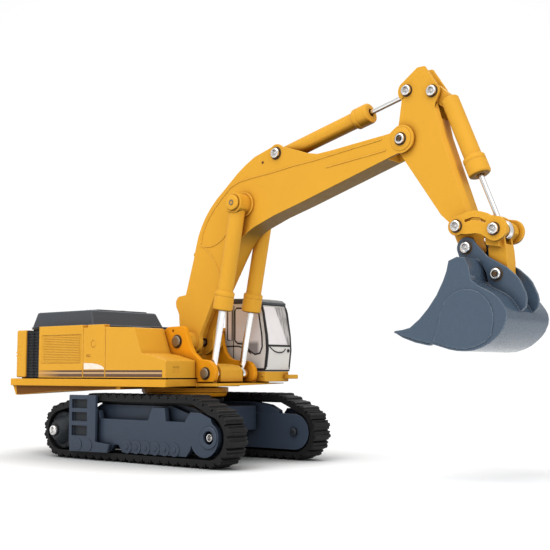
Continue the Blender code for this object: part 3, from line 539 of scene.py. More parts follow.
TRACK_TOP, WHEEL_R, CARRIER_R = 16.8, 7.05, 5.0
TRACK_IN, TRACK_OUT = 12.7, 19.2
FRONT_X, REAR_X = 26.2, -26.8
FRONT_CARRIER_X, REAR_CARRIER_X = 20.15, -15.0
PADS = 50
BELT_DEPTH, GUIDE_DEPTH = 1.95, 0.6
WHEEL_IN = 14.2


def tangent(first, second):
    """The angle at which a straight run leaves one circle for the next, both as (x, z, radius)."""
    dx, dz = second[0] - first[0], second[1] - first[1]
    heading = math.degrees(math.atan2(dz, dx) % (2 * math.pi))
    return heading - math.degrees(math.acos((first[2] - second[2]) / math.hypot(dx, dz)))


def polar(angle):
    return Vector((math.cos(math.radians(angle)), math.sin(math.radians(angle))))


def track_path():
    """The belt's outer path as arcs: (x, z, radius, start angle, end angle)."""
    carrier_z = TRACK_TOP - CARRIER_R
    front, rear = (FRONT_X, WHEEL_R, WHEEL_R), (REAR_X, WHEEL_R, WHEEL_R)
    front_top, rear_top = (FRONT_CARRIER_X, carrier_z, CARRIER_R), (REAR_CARRIER_X, carrier_z, CARRIER_R)
    rise, fall = tangent(front, front_top), tangent(rear_top, rear)
    return [
        (*front, -90, rise), (*front_top, rise, 90), (*rear_top, 90, fall), (*rear, fall, 270),
        (0, WHEEL_R, WHEEL_R, 270, 270),
    ]


def track_point(distance, path):
    """(point, outward normal) at a distance along the belt's outer path."""
    here = Vector((0, 0))
    for x, z, radius, start, end in path:
        there = Vector((x, z)) + polar(start) * radius
        run = (there - here).length
        if distance <= run:
            return here.lerp(there, distance / run), polar(start)
        distance -= run
        curve = math.radians(end - start) * radius
        if distance <= curve:
            normal = polar(start + math.degrees(distance / radius))
            return Vector((x, z)) + normal * radius, normal
        distance -= curve
        here = Vector((x, z)) + polar(end) * radius
    return here, polar(270)


def track_length(path):
    total, here = 0.0, Vector((0, 0))
    for x, z, radius, start, end in path:
        there = Vector((x, z)) + polar(start) * radius
        total += (there - here).length + math.radians(end - start) * radius
        here = Vector((x, z)) + polar(end) * radius
    return total


# One pad: (place along the pitch, how far below the cleat's top)
PAD_STATIONS = [
    (-0.50, 1.05), (-0.44, 1.05), (-0.41, 0.50), (-0.30, 0.44), (-0.21, 0.40),
    (-0.15, 0.03), (-0.10, 0.0), (0.04, 0.0), (0.09, 0.03), (0.14, 0.40),
    (0.28, 0.44), (0.31, 0.22), (0.39, 0.22), (0.42, 0.50), (0.45, 1.05),
]
# Across the belt: (share of the width, extra depth outside, share of the inner guide's height)
PAD_COLUMNS = [
    (0.0, 0.22, 0.0), (0.03, 0.06, 0.0), (0.12, 0.0, 0.0), (0.40, 0.0, 0.0), (0.43, 0.0, 1.0),
    (0.51, 0.0, 1.0), (0.54, 0.0, 0.0), (0.83, 0.0, 0.0), (0.97, 0.06, 0.0), (1.0, 0.22, 0.0),
]


def belt(side_name, sign):
    """One loop of pads, drawn as a grid that runs round the path."""
    path = track_path()
    total = track_length(path)
    pitch = total / PADS
    bm = bmesh.new()
    outer, inner = [], []
    for pad in range(PADS):
        for place, depth in PAD_STATIONS:
            point, normal = track_point(((pad + place) * pitch) % total, path)
            rows = ([], [])
            for share, extra, guide in PAD_COLUMNS:
                y = sign * (TRACK_IN + share * (TRACK_OUT - TRACK_IN))
                top = point - normal * min(depth + extra, 1.15)
                low = point - normal * (BELT_DEPTH + GUIDE_DEPTH * guide)
                rows[0].append(bm.verts.new((top.x, y, top.y)))
                rows[1].append(bm.verts.new((low.x, y, low.y)))
            outer.append(rows[0])
            inner.append(rows[1])
    count, across = len(outer), len(PAD_COLUMNS)
    for i in range(count):
        j = (i + 1) % count
        for k in range(across - 1):
            bm.faces.new((outer[i][k], outer[i][k + 1], outer[j][k + 1], outer[j][k]))
            bm.faces.new((inner[i][k + 1], inner[i][k], inner[j][k], inner[j][k + 1]))
        for k in (0, across - 1):
            bm.faces.new((outer[i][k], outer[j][k], inner[j][k], inner[i][k]))
    node = f"track_belt_{side_name}"
    finish(f"belt_{side_name}", raw(bm), "undercarriage", RUBBER, [node], bevel=0, sharp=25)


def wheel(name, side_name, sign, x, profile, bolts, ring, face):
    """A turned wheel with a ring of bolt heads on its outer face."""
    body = turned((x, WHEEL_R), sign * WHEEL_IN, sign, profile, 56, closed=True)
    points = [tuple(Vector((x, WHEEL_R)) + polar(360 * i / bolts) * ring) for i in range(bolts)]
    heads = bosses(points, 0.34, sign * (face - 0.3), sign * (face + 0.22), 6)
    node = f"{name}_{side_name}"
    finish(f"{node}_wheel", body, node, WHEEL_SLATE, [node], add=[heads], bevel=0.08)


def head_profile(start, radius, height, hollow_head=True):
    """A rivet head from its seat outwards: a rounded rim, then a plain middle or a dish with a small boss."""
    shares = [(0.0, 1.0), (0.45, 1.0), (0.8, 0.93), (1.0, 0.78)]
    shares += [(0.96, 0.62), (0.45, 0.50), (0.45, 0.30)] if hollow_head else [(1.0, 0.4), (0.98, 0.0)]
    head = [(start + height * along, radius * out) for along, out in shares]
    if hollow_head:
        boss = head[-1][0] + 0.12
        head += [(boss, radius * 0.18), (boss, 0)]
    return head


def side_frame(side_name, sign):
    """An inner plate, a box beam with a rail under the belt, and an outer plate with rollers."""
    front, rear = (FRONT_X, WHEEL_R), (REAR_X, WHEEL_R)

    def plate(outline, y0, y1):
        return side(outline, sign * y0, sign * y1)

    inner_plate = plate(arc(front, 4.5, -90, 90) + arc(rear, 4.5, 90, 270), 12.8, 13.9)
    beam = [(-21.2, 3.2), (20.6, 3.2), (20.6, 11.4), (11.6, 14.0), (-14.0, 14.0), (-21.2, 10.4)]
    core = [(-20.6, 4.3), (20.2, 4.3), (20.2, 10.2), (-20.6, 10.2)]
    outer = [(-21.2, 2.3), (-7.6, 2.3), (-6.3, 4.1), (-4.6, 4.1), (-3.2, 2.3), (18.9, 2.3), (20.2, 3.9)]
    outer += arc((24.6, 6.9), 4.5, 205, 395)
    outer += [
        (27.0, 10.4), (26.7, 11.5), (23.5, 12.7), (20.2, 12.8), (18.3, 10.4), (12.0, 10.4), (11.5, 13.6),
    ]
    outer += [(7.4, 13.6), (5.8, 10.4), (-11.6, 10.4), (-12.2, 12.5), (-21.2, 12.5)]
    pad = [(-20.8, 3.6), (-13.0, 3.6), (-13.0, 12.0), (-20.8, 12.0)]
    rail = [(-15.5, 12.0), (20.8, 11.2), (20.8, 12.3), (17.8, 13.7), (12.0, 14.5), (-15.5, 14.55)]
    layers = [(beam, 13.5, 16.4), (core, 16.0, 17.8), (outer, 17.3, 18.8), (pad, 18.3, 19.15)]
    adds = [plate(*layer) for layer in layers + [(rail, 13.0, 14.9)]]
    bores = ((front, 0.95, 12.0, 15.0), (rear, 0.95, 12.0, 15.0), (front, 1.55, 16.9, 19.6))
    cuts = [rod_y(at, radius, sign * y0, sign * y1) for at, radius, y0, y1 in bores]
    node = f"track_frame_{side_name}"
    finish(f"side_frame_{side_name}", inner_plate, "undercarriage", SLATE, [node], cut=cuts, add=adds)
    row = [(x, 3.75) for x in (-1.4, 1.9, 5.2, 8.5, 11.8, 15.1)]
    rollers = bosses(row, 1.62, sign * 18.7, sign * 18.98, 28)
    finish(f"rollers_{side_name}", rollers, "undercarriage", SLATE, bevel=0.1)
    caps = bosses(row, 0.6, sign * 18.9, sign * 19.12, 20)
    finish(f"roller_caps_{side_name}", caps, "undercarriage", SLATE, bevel=0.06)
    rim = [(0, 1.6), (0, 2.6), (0.55, 2.6), (0.7, 2.45), (0.7, 1.75), (0.6, 1.6)]
    ring = turned(front, sign * 18.4, sign, rim, 40, closed=True)
    finish(f"idler_boss_{side_name}", ring, "undercarriage", SLATE, bevel=0)


def boarding_step(side_name, sign):
    """The ladder beside the rear of the track: three deep openings in a plate that narrows to a foot."""
    ladder = [
        (-21.6, 1.9), (-7.2, 2.1), (-6.4, 4.2), (-11.7, 4.6), (-11.7, 16.3), (-22.0, 16.3), (-22.0, 5.2),
    ]
    plate = side(ladder, sign * 19.5, sign * 20.4)
    rungs = ((5.9, 8.5), (9.6, 11.9), (12.9, 15.2))
    openings = [block((-20.9, -14.9), (sign * 19.56, sign * 21.0), z) for z in rungs]
    node = f"step_box_{side_name}"
    finish(f"boarding_step_{side_name}", plate, "undercarriage", SLATE, [node], cut=openings, bevel=0.14)
    # A darker sheet at the back of each opening: painted shade in the openings.
    floors = [((-20.8, -15.0), (sign * 19.54, sign * 19.6), (low + 0.1, high - 0.1)) for low, high in rungs]
    finish(f"step_opening_shade_{side_name}", blocks(*floors), "undercarriage", WHEEL_SLATE, bevel=0.01)
    foot = bosses([(-18.2, 3.7), (-14.2, 3.7)], 1.45, sign * 20.3, sign * 20.58, 28)
    finish(f"step_foot_rings_{side_name}", foot, "undercarriage", SLATE, bevel=0.1)


def axles(side_name, sign):
    """The rivets that carry the two wheels, each with a foot on the frame's inner side."""
    stem = [(12.6, 0), (12.6, 0.65)]
    heads = {
        "idler": (FRONT_X, stem + [(17.3, 0.65)] + head_profile(17.3, 1.1, 1.35)),
        "sprocket": (REAR_X, stem + [(21.15, 0.65)] + head_profile(21.15, 1.35, 0.72)),
    }
    foot = [(12.0, 0), (12.0, 0.7), (12.2, 1.0), (12.55, 1.0), (12.55, 0)]
    for name, (x, profile) in heads.items():
        node = f"{name}_axle_{side_name}"
        rivet = turned((x, WHEEL_R), 0, sign, profile)
        finish(f"{name}_rivet_{side_name}", rivet, "undercarriage", RIVET, [node], bevel=0)
        inner = turned((x, WHEEL_R), 0, sign, foot)
        finish(f"{name}_rivet_foot_{side_name}", inner, "undercarriage", WHEEL_SLATE, bevel=0)


def undercarriage(side_name, sign):
    """One track: its belt, wheels, side frame, boarding step and axles."""
    belt(side_name, sign)
    r, g, bore = WHEEL_R - 2.2, 3.9, 0.95
    idler = [(0, bore), (0, r - 0.3), (0.15, r), (0.6, r), (0.8, g), (2.0, g), (2.2, r), (2.65, r)]
    idler += [(2.8, r - 0.3), (2.8, 3.7), (2.5, 3.5), (2.5, 1.8), (2.8, 1.6), (2.8, bore)]
    sprocket = [(0, bore), (0, r - 0.3), (0.15, r), (0.8, r), (1.0, g), (2.8, g), (3.0, r), (3.95, r)]
    sprocket += [(4.1, r - 0.3), (4.1, 3.75), (4.25, 3.55), (4.6, 3.4), (6.4, 2.35), (6.7, 2.1), (6.7, bore)]
    wheel("idler", side_name, sign, FRONT_X, idler, 8, 2.7, WHEEL_IN + 2.5)
    wheel("sprocket", side_name, sign, REAR_X, sprocket, 10, 4.2, WHEEL_IN + 4.1)
    side_frame(side_name, sign)
    boarding_step(side_name, sign)
    axles(side_name, sign)


def chassis():
    """The cross frame between the tracks, the slew ring on it and the slew screw from below."""
    half_x, half_y, waist = 13.8, TRACK_IN - 0.2, 9.0
    corner = [(half_x, -half_y), (half_x, half_y), (waist, half_y), (5.5, 9.4), (-5.5, 9.4), (-waist, half_y)]
    body = plan(corner + [(-x, -y) for x, y in corner], 7.2, 13.5)
    pockets = [block((x0, x1), (-8.6, 8.6), (6.0, 8.6)) for x0, x1 in ((-12.6, -5.6), (5.6, 12.6))]
    ribs = blocks(*[((x - 0.4, x + 0.4), (-9.0, 9.0), (7.25, 9.0)) for x in (-9.1, 9.1)])
    collar = lathe((0, 0, 7.4), UP, [(0, 1.4), (0, 4.6), (1.5, 4.9), (1.5, 1.4)], 48, closed=True)
    way = lathe((0, 0, 5), UP, bar(0, 12, 1.4))
    finish(
        "cross_frame", body, "undercarriage", SLATE, ["chassis_frame"], cut=[*pockets, way], add=[collar],
        bevel=0.2,
    )
    finish("cross_frame_ribs", ribs, "undercarriage", SLATE, bevel=0.1)
    ring = [(0, 1.4), (0, 9.3), (0.25, 9.8), (0.7, 10.2), (1.45, 10.2), (1.7, 9.95), (1.7, 1.4)]
    slew_ring = lathe((0, 0, 13.8), UP, ring, 72, closed=True)
    finish("slew_ring", slew_ring, "undercarriage", BLACK, ["slew_base_ring"], bevel=0)
    thread = [(0.9, 1.1), (11.4, 1.1), (11.4, 0)]
    screw = lathe((0, 0, 6.0), UP, [(0, 0), (0, 1.3), (0.15, 1.75), (0.5, 2.1), (0.9, 2.1)] + thread)
    slots = [block((-1.3, 1.3), (-0.22, 0.22), (5.5, 6.45)), block((-0.22, 0.22), (-1.3, 1.3), (5.5, 6.45))]
    finish("slew_screw_head", screw, "undercarriage", RIVET, ["slew_screw"], cut=slots, bevel=0.05)


# ---------------------------------------------------------------- upper structure

HALF = 19.4
DECK_Z, DECK_TOP, HOUSE_Z, HOUSE_TOP = 18.5, 20.4, 20.7, 33.6


def deck():
    """The base plate, the wedge under its rear that is deeper on the right, a dark sheet of painted shadow on
    the wedge's right side, and the turntable.
    """
    outline = [(-49.0, -19.0), (-48.6, -19.4), (12.4, -19.4), (12.4, 19.4), (-48.6, 19.4), (-49.0, 19.0)]
    plate = plan(outline, DECK_Z, DECK_TOP)
    tongue = [(11.0, 18.6), (19.2, 18.6), (19.2, 19.4), (11.0, 19.4)]
    tongue_left = [(11.0, 19.2), (20.0, 19.2), (20.0, 19.4), (11.0, 19.4)]
    wedge = [(-48.9, 19.0), (-47.3, 15.9), (-45.4, 15.9), (-28.5, 17.1), (-4.5, 17.8), (-4.5, 19.0)]
    wedge_left = [(-48.9, 19.0), (-47.3, 17.7), (-45.4, 17.7), (-28.5, 17.9), (-4.5, 18.0), (-4.5, 19.0)]
    adds = [side(tongue, -8.8, 16.4, tongue_left), side(wedge, -18.6, 17.6, wedge_left)]
    well = lathe((0, 0, 14), UP, bar(0, 4.5, 12.4), 72)
    cuts = [well, block((1.0, 14.0), (7.5, 20.5), (17.0, 19.1))]
    finish("deck_casting", plate, "upper", DECK_YELLOW, ["upper_deck"], cut=cuts, add=adds, bevel=0.14)
    # A thin dark sheet on the wedge's right side: painted shadow under the deck's overhanging rim.
    panel = [(-47.0, 18.4), (-46.7, 16.1), (-45.4, 16.05), (-28.5, 17.25), (-6.0, 17.9), (-6.0, 18.4)]
    finish("wedge_shadow_sheet", side(panel, -18.68, -18.4), "upper", SHADED_YELLOW, bevel=0.03)
    ring = [
        (0, 1.4), (0, 10.3), (0.12, 10.6), (0.4, 10.85), (1.1, 11.0), (1.3, 11.3), (2.3, 11.3), (2.4, 11.2),
    ]
    table = lathe((0, 0, 15.8), UP, ring + [(2.4, 1.4)], 80, closed=True)
    finish("turntable_ring", table, "upper", BRACKET_SHADED_YELLOW, ["turntable"], bevel=0)


def flank(sign):
    """What is sunk into and raised from one flank of the house, as (cuts, pieces to add)."""
    face = sign * HALF

    def depth(inner, outer):
        return skin(face, sign, outer, inner)

    seams = [block((x - 0.09, x + 0.09), depth(0.16, 0.5), (HOUSE_Z - 1, 35)) for x in (-18.0, -9.4)]
    latch = [tuple(Vector((-13.9, 29.4)) + polar(a) * 0.9) for a in range(0, 360, 20)]
    adds = [side(latch, *depth(0.5, 0.06)), block((-16.6, -15.0), depth(0.5, 0.06), (26.2, 26.6))]
    return seams + [block((-35.2, -18.9), depth(0.12, 0.5), (24.4, 31.9))], adds


def house():
    """The body casting, with louvres sunk into each flank and a walkway on the left of its roof."""
    crest = [(12.4, HOUSE_Z), (12.4, 24.9), (11.9, 25.1), (6.9, 26.35), (3.8, 26.8)]
    crest += [(1.25, 32.9), (0.9, 33.2), (-9.9, HOUSE_TOP)]
    body = side([(-36.4, HOUSE_Z)] + crest + [(-36.4, HOUSE_TOP)], -HALF, -9.1)
    middle_part = [(-36.4, HOUSE_Z), (-3.4, HOUSE_Z), (-3.4, 33.2), (-9.9, HOUSE_TOP), (-36.4, HOUSE_TOP)]
    left_part = [(-36.4, HOUSE_Z), (5.2, HOUSE_Z), (5.2, 33.2), (-9.9, HOUSE_TOP), (-36.4, HOUSE_TOP)]
    adds = [side(middle_part, -10.0, 9.0), side(left_part, 8.4, HALF)]
    for y, lip in (((-HALF, -15.6), (-HALF, -17.4)), ((12.0, HALF), (17.4, HALF))):
        adds += [block((-36.4, -18.4), y, (33.0, 34.35)), block((-16.2, -10.0), lip, (33.0, 34.3))]
    adds += [
        block((-8.5, 4.0), (11.0, 17.8), (33.0, 33.85)), block((11.9, 12.55), (-16.5, -15.0), (22.2, 23.1)),
    ]
    cuts = [block((12.2, 13.0), (-16.9, -14.6), (21.9, 23.4))]
    for _, sign in SIDES:
        flank_cuts, flank_adds = flank(sign)
        cuts += flank_cuts
        adds += flank_adds
    finish("body_casting", body, "upper", YELLOW, ["house_body"], cut=cuts, add=adds, bevel=0.12)
    low, pitch, ribs = 24.7, 0.4375, 16
    for name, sign in SIDES:
        depth = skin(sign * HALF, sign, -0.03, 0.3)
        rows = [((-34.6, -19.5), depth, (low + pitch * i, low + pitch * (i + 0.7))) for i in range(ribs)]
        finish(f"louvres_{name}", blocks(*rows), "upper", YELLOW, bevel=0.04)
    cover = block((-9.4, -3.5), (-8.9, 8.4), (33.0, 33.9))
    finish("roof_cover", cover, "upper", HOOD_SLATE, bevel=0.2)
    treads = [((-8.2, 3.7), (y, y + 0.35), (33.8, 33.98)) for y in (11.6, 12.8, 14.0, 15.2, 16.4)]
    finish("roof_walk_treads", blocks(*treads), "upper", YELLOW, bevel=0.04)


def rear_end():
    """The counterweight, bowed at its back, and the radiator's slats on both flanks in front of it."""
    centre = (30.9, 0.0)
    back = arc(centre, 79.6, 165.9, 194.1, 16)
    weight = plan([(-42.2, -HALF), (-42.2, HALF)] + back, HOUSE_Z, HOUSE_TOP)
    outer = arc(centre, 80.6, 165.4, 194.6, 16)
    inner = arc(centre, 79.25, 165.4, 194.6, 16)
    seam = plan(outer + inner[::-1], 26.9, 27.2)
    finish(
        "counterweight_casting", weight, "upper", YELLOW, ["counterweight"], cut=[seam], bevel=0.45, steps=3,
    )
    core = block((-41.7, -36.9), (-18.85, 18.85), (HOUSE_Z, 33.3))
    heights = [20.9 + 0.78 * i for i in range(16)]
    slats = blocks(*[((-41.9, -36.7), (-19.1, 19.1), (z, z + 0.38)) for z in heights])
    posts = blocks(*[((x, x + 0.3), (-19.12, 19.12), (HOUSE_Z, 33.5)) for x in (-41.9, -39.45, -37.0)])
    finish("radiator_slats", core, "upper", BLACK, ["radiator_grille"], add=[slats, posts], bevel=0.04)


def seals():
    """The thin joints under the engine cover and under the house."""
    seal = block((-45.4, -19.9), (-14.4, 10.9), (HOUSE_TOP - 0.1, HOUSE_TOP + 0.5))
    finish("hood_seal", seal, "upper", HOOD_SLATE, bevel=0.02)
    joint = block((-46.0, 11.5), (-17.6, 17.6), (DECK_TOP - 0.1, HOUSE_Z + 0.1))
    finish("house_seal", joint, "upper", DARK_MARK_AND_SHADE, bevel=0.02)


def hood():
    """The sloped engine cover with its lip, hump and slots, and the exhaust's stub."""
    low = [(-45.9, -14.9), (-19.4, -14.9), (-19.4, 11.4), (-45.9, 11.4)]
    high = [(-44.6, -13.8), (-21.5, -13.8), (-21.5, 9.8), (-44.6, 9.8)]
    cover = plan(low, HOUSE_TOP + 0.3, 38.7, high)
    lip = plan(low, HOUSE_TOP + 0.3, 34.5)
    hump_low = [(-41.0, -9.0), (-29.0, -9.0), (-29.0, 5.0), (-41.0, 5.0)]
    hump = plan(hump_low, 38.0, 39.0, inset(hump_low, 0.8))
    slots = blocks(*[((x, x + 0.7), (-11.0, 7.0), (38.45, 39.5)) for x in (-27.2, -25.8, -24.4, -23.0)])
    finish(
        "engine_cover", cover, "upper", HOOD_SLATE, ["engine_hood"], cut=[slots], add=[lip, hump], bevel=0.5,
        steps=3,
    )
    pipe = [(0, 0), (0, 1.3), (1.5, 1.3), (1.6, 1.2), (1.6, 0.9), (0.9, 0.9), (0.9, 0)]
    finish("exhaust_stub", lathe((-33.5, 7.4, 38.2), UP, pipe, 32), "upper", BLACK, bevel=0.05)


def bracket_outline(name):
    """A boom bracket's outline. The left one is cut lower between the two pins."""
    foot = [(14.0, 19.7), (12.7, 19.7), (12.7, HOUSE_Z), (2.5, HOUSE_Z), (1.0, 32.8), (2.2, 33.6)]
    if name == "right":
        edge = [(6.8, 33.7)] + arc((7.1, 32.2), 1.5, 80, 25, 4)
        edge += [(10.1, 28.8), (11.1, 27.1), (13.5, 25.3), (16.0, 25.1)]
    else:
        edge = [
            (5.6, 33.2), (6.9, 32.5), (7.3, 31.8), (7.8, 29.4), (8.6, 27.4), (9.9, 26.0), (11.4, 25.3),
            (16.0, 25.0),
        ]
    return foot + edge + arc(ROD_FOOT, 3.3, 75, -40) + [(18.0, 19.7)]


def brackets():
    """The two bracket plates at the boom's foot, with a dark ring of painted shadow round each rivet, and the
    guard between.
    """
    for name, y0, y1, out in (("right", -8.8, -7.4, -1), ("left", 5.8, 7.2, 1)):
        face = y0 if out < 0 else y1
        cuts = [rod_y(BOOM_FOOT, 1.2, y0 - 1, y1 + 1), rod_y(ROD_FOOT, 0.9, y0 - 1, y1 + 1)]
        cuts += [rod_y((4.1, 32.5), 0.32, *skin(face, out, 1, 0.5), 16)]
        plate = side(bracket_outline(name), y0, y1)
        finish(
            f"bracket_{name}", plate, "upper", BRACKET_SHADED_YELLOW, [f"boom_bracket_{name}"], cut=cuts, bevel=0.2,
        )
        shadow_rings(f"boom_foot_washer_{name}", BOOM_FOOT, [(face, out)], "upper", 1.85)
        shadow_rings(f"rod_foot_washer_{name}", ROD_FOOT, [(face, out)], "upper", 1.7)
    beam = [(11.2, HOUSE_Z), (12.7, HOUSE_Z), (12.7, 19.7), (17.2, 19.7), (17.2, 22.7)]
    beam += [(16.6, 23.4), (15.9, 23.8), (13.6, 24.2), (11.2, 24.3)]
    guard = side(beam, -4.9, 3.3)
    bore = rod_y(ROD_FOOT, 0.9, -6, 5)
    finish("front_guard", guard, "upper", YELLOW, ["front_crossmember"], cut=[bore], bevel=0.2)


# ---------------------------------------------------------------- cab

CAB_RIGHT, CAB_LEFT, CAB_Z = 8.7, 18.6, 22.6
CAB_FRONT = [(20.0, 22.6), (20.7, 27.8), (20.4, 31.6), (19.2, 37.6), (18.5, 40.0), (17.5, 40.8)]


def hollow(outline, wall, y0, y1):
    """The inside of a shell that is open below."""
    inside = inset(outline, wall)
    for corner in (0, 1):
        inside[corner] = (inside[corner][0], outline[corner][1] - 1)
    return side(inside, y0 + wall, y1 - wall)


def front_x(z):
    """The windscreen face's x at a height."""
    for (xa, za), (xb, zb) in zip(CAB_FRONT, CAB_FRONT[1:]):
        if za <= z <= zb:
            return xa + (xb - xa) * (z - za) / (zb - za)
    return CAB_FRONT[-1][0]


def front_strip(y0, y1, z0, z1, out=0.12, deep=0.3):
    """A strip on the cab's curved front, between two heights."""
    rows = [z0] + [z for _, z in CAB_FRONT if z0 < z < z1] + [z1]
    outside = [(front_x(z) + out, z) for z in rows]
    within = [(front_x(z) - deep, z) for z in rows]
    return side(outside + within[::-1], y0, y1)


def wiper():
    """A thin black line that hangs in a bow under the windscreen's bar, and its pivot."""
    bow = [(9.6, 28.7), (10.4, 28.1), (11.6, 27.5), (13.0, 27.2), (14.4, 27.2), (15.4, 27.5), (16.0, 28.1)]
    bm = bmesh.new()
    rings = []
    for y, z in bow:
        circle = arc((front_x(z) + 0.06, z), 0.16, 0, 360, 8)[:-1]
        rings.append([(x, y, height) for x, height in circle])
    loft_into(bm, rings)
    finish("windscreen_wiper", raw(bm), "upper", TRIM, bevel=0)
    pivot = [(0, 0), (0, 0.45), (0.25, 0.45), (0.4, 0.3), (0.4, 0)]
    knob = lathe((front_x(27.7) - 0.1, 17.2, 27.7), (1, 0, 0), pivot, 20)
    finish("wiper_pivot", knob, "upper", TRIM, bevel=0)


DOOR = [
    (9.6, 30.4), (10.6, 29.6), (13.0, 29.4), (15.0, 27.5), (16.6, 26.7), (18.2, 27.0),
    (19.0, 28.6), (18.9, 31.5), (17.7, 37.9), (17.0, 38.5), (10.2, 38.9), (9.6, 38.3),
]
REAR_PANE = [(7.0, 30.6), (8.6, 30.4), (8.6, 38.6), (7.4, 38.7), (7.0, 38.3)]


def cab_base():
    """The platform under the cab, with bolt heads on its side, and the entry step."""
    platform = block((5.7, 20.4), (8.4, 17.8), (19.7, 22.3))
    heel = block((0.0, 12.7), (7.0, 20.0), (19.0, HOUSE_Z))
    bolts = bosses([(x, 21.3) for x in (14.2, 17.0, 19.4)], 0.3, 8.1, 8.6, 6)
    finish("cab_base", platform, "upper", YELLOW, ["cab_platform"], cut=[heel], add=[bolts], bevel=0.2)
    step = block((20.7, 22.4), (15.5, 19.3), (20.4, 21.5))
    finish("entry_step", step, "upper", YELLOW, ["front_step"], bevel=0.15)


def cab_shell():
    """The silver walls with their window openings, and the clear insert inside them."""
    outline = [(6.1, CAB_Z)] + CAB_FRONT + [(7.3, 41.4), (6.1, 40.8)]
    wall, lens_wall = 0.6, 0.5
    cuts = [hollow(outline, wall, CAB_RIGHT, CAB_LEFT)]
    cuts += [side(opening, CAB_RIGHT - 1, CAB_LEFT + 1) for opening in (DOOR, REAR_PANE)]
    openings = (
        ((18.0, 22.0), 0.9, (29.3, 38.6)), ((5.0, 7.0), 1.2, (29.6, 38.4)), ((9.4, 15.6), 2.2, (40.0, 42.0)),
    )
    cuts += [block(x, (CAB_RIGHT + margin, CAB_LEFT - margin), z) for x, margin, z in openings]
    crown = [(6.3, 40.9), (17.3, 40.7), (16.9, 41.25), (7.5, 41.6), (6.5, 41.3)]
    roof = side(crown, CAB_RIGHT + 0.5, CAB_LEFT - 0.5)
    walls = side(outline, CAB_RIGHT, CAB_LEFT)
    finish("cab_walls", walls, "upper", CAB_SILVER, ["cab_shell"], cut=cuts, add=[roof], bevel=0.16)

    gap = wall + 0.3
    lens = inset(outline, gap)
    lens[0], lens[1] = (lens[0][0], CAB_Z), (lens[1][0], CAB_Z)
    y0, y1 = CAB_RIGHT + gap, CAB_LEFT - gap
    inside = hollow(lens, lens_wall, y0, y1)
    finish("cab_glass", side(lens, y0, y1), "upper", CLEAR, ["cab_glazing"], cut=[inside])


def cab_trim():
    """The dark seams round the panes, on both sides and on the front."""
    post = [(18.75, 39.0), (19.25, 37.6), (20.25, 31.6), (20.5, 27.8), (19.85, 22.9)]
    seam = [(9.2, 39.6), (9.1, 28.6), (9.2, 23.0)]
    sill = [(6.3, 28.9), (10.6, 28.9), (13.4, 28.3), (15.2, 26.9)]
    foot, eaves = [(6.3, 22.9), (20.0, 22.9)], [(6.6, 40.3), (18.0, 40.0)]
    pane = REAR_PANE + REAR_PANE[:1]
    lines = ((pane, 0.34), (post, 0.42), (seam, 0.22), (sill, 0.34), (foot, 0.5), (eaves, 0.3))
    for name, y, out in both_named(CAB_RIGHT, CAB_LEFT):
        depth = skin(y, out, 0.09, 0.4)
        adds = [ribbon(line, width, *depth) for line, width in lines]
        loop = ribbon(DOOR + DOOR[:1], 0.42, *depth)
        finish(f"cab_side_trim_{name}", loop, "upper", TRIM, add=adds, bevel=0.04)
    right, left = CAB_RIGHT + 0.05, CAB_LEFT - 0.05
    bars = [front_strip(*span, 23.0, 39.8) for span in ((right, right + 0.5), (left - 0.5, left))]
    bars += [front_strip(right, left, *z) for z in ((28.7, 29.2), (39.4, 39.8), (22.6, 23.4))]
    finish("windscreen_trim", bars[0], "upper", TRIM, add=bars[1:], bevel=0.05)


def cab_panes():
    """The windscreen and the side panes, flush with the walls, the gasket below and the roof's edge."""
    screen = front_strip(CAB_RIGHT + 0.75, CAB_LEFT - 0.35, 29.1, 39.1, 0.04, 0.25)
    finish("windscreen", screen, "upper", CLEAR, bevel=0)
    for name, y, out in both_named(CAB_RIGHT, CAB_LEFT):
        depth = skin(y, out, 0.04, 0.3)
        finish(f"door_pane_{name}", side(DOOR, *depth), "upper", CLEAR, bevel=0)
        finish(f"rear_pane_{name}", side(REAR_PANE, *depth), "upper", CLEAR, bevel=0)
    gasket = plan([(6.3, 8.9), (20.2, 8.9), (20.2, 18.4), (6.3, 18.4)], 22.32, 22.7)
    finish("cab_gasket", gasket, "upper", TRIM, bevel=0.03)
    edge = [(6.1, 40.3), (17.7, 40.1), (18.7, 39.6), (18.75, 40.2), (17.6, 41.0), (7.3, 41.5), (6.0, 40.9)]
    finish("roof_edge", side(edge, CAB_RIGHT - 0.1, CAB_LEFT + 0.1), "upper", ROOF_TRIM, bevel=0.15)


def grab_rail():
    """A bent bar on the cab's left rear corner."""
    rail = bpy.data.curves.new("grab_rail", "CURVE")
    rail.dimensions = "3D"
    rail.bevel_depth = 0.22 * MM
    rail.bevel_resolution = 4
    rail.use_fill_caps = True
    line = rail.splines.new("BEZIER")
    points = [(8.3, CAB_LEFT + out, z) for out, z in ((0, 25.0), (0.75, 25.4), (0.75, 33.6), (0, 34.0))]
    line.bezier_points.add(len(points) - 1)
    for knot, point in zip(line.bezier_points, points):
        knot.co = (Vector(point) + SHIFT) * MM
        knot.handle_left_type = knot.handle_right_type = "AUTO"
    handle = bpy.data.objects.new("grab_rail", rail)
    bpy.context.scene.collection.objects.link(handle)
    rail.materials.append(TRIM)
    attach(handle, "upper")


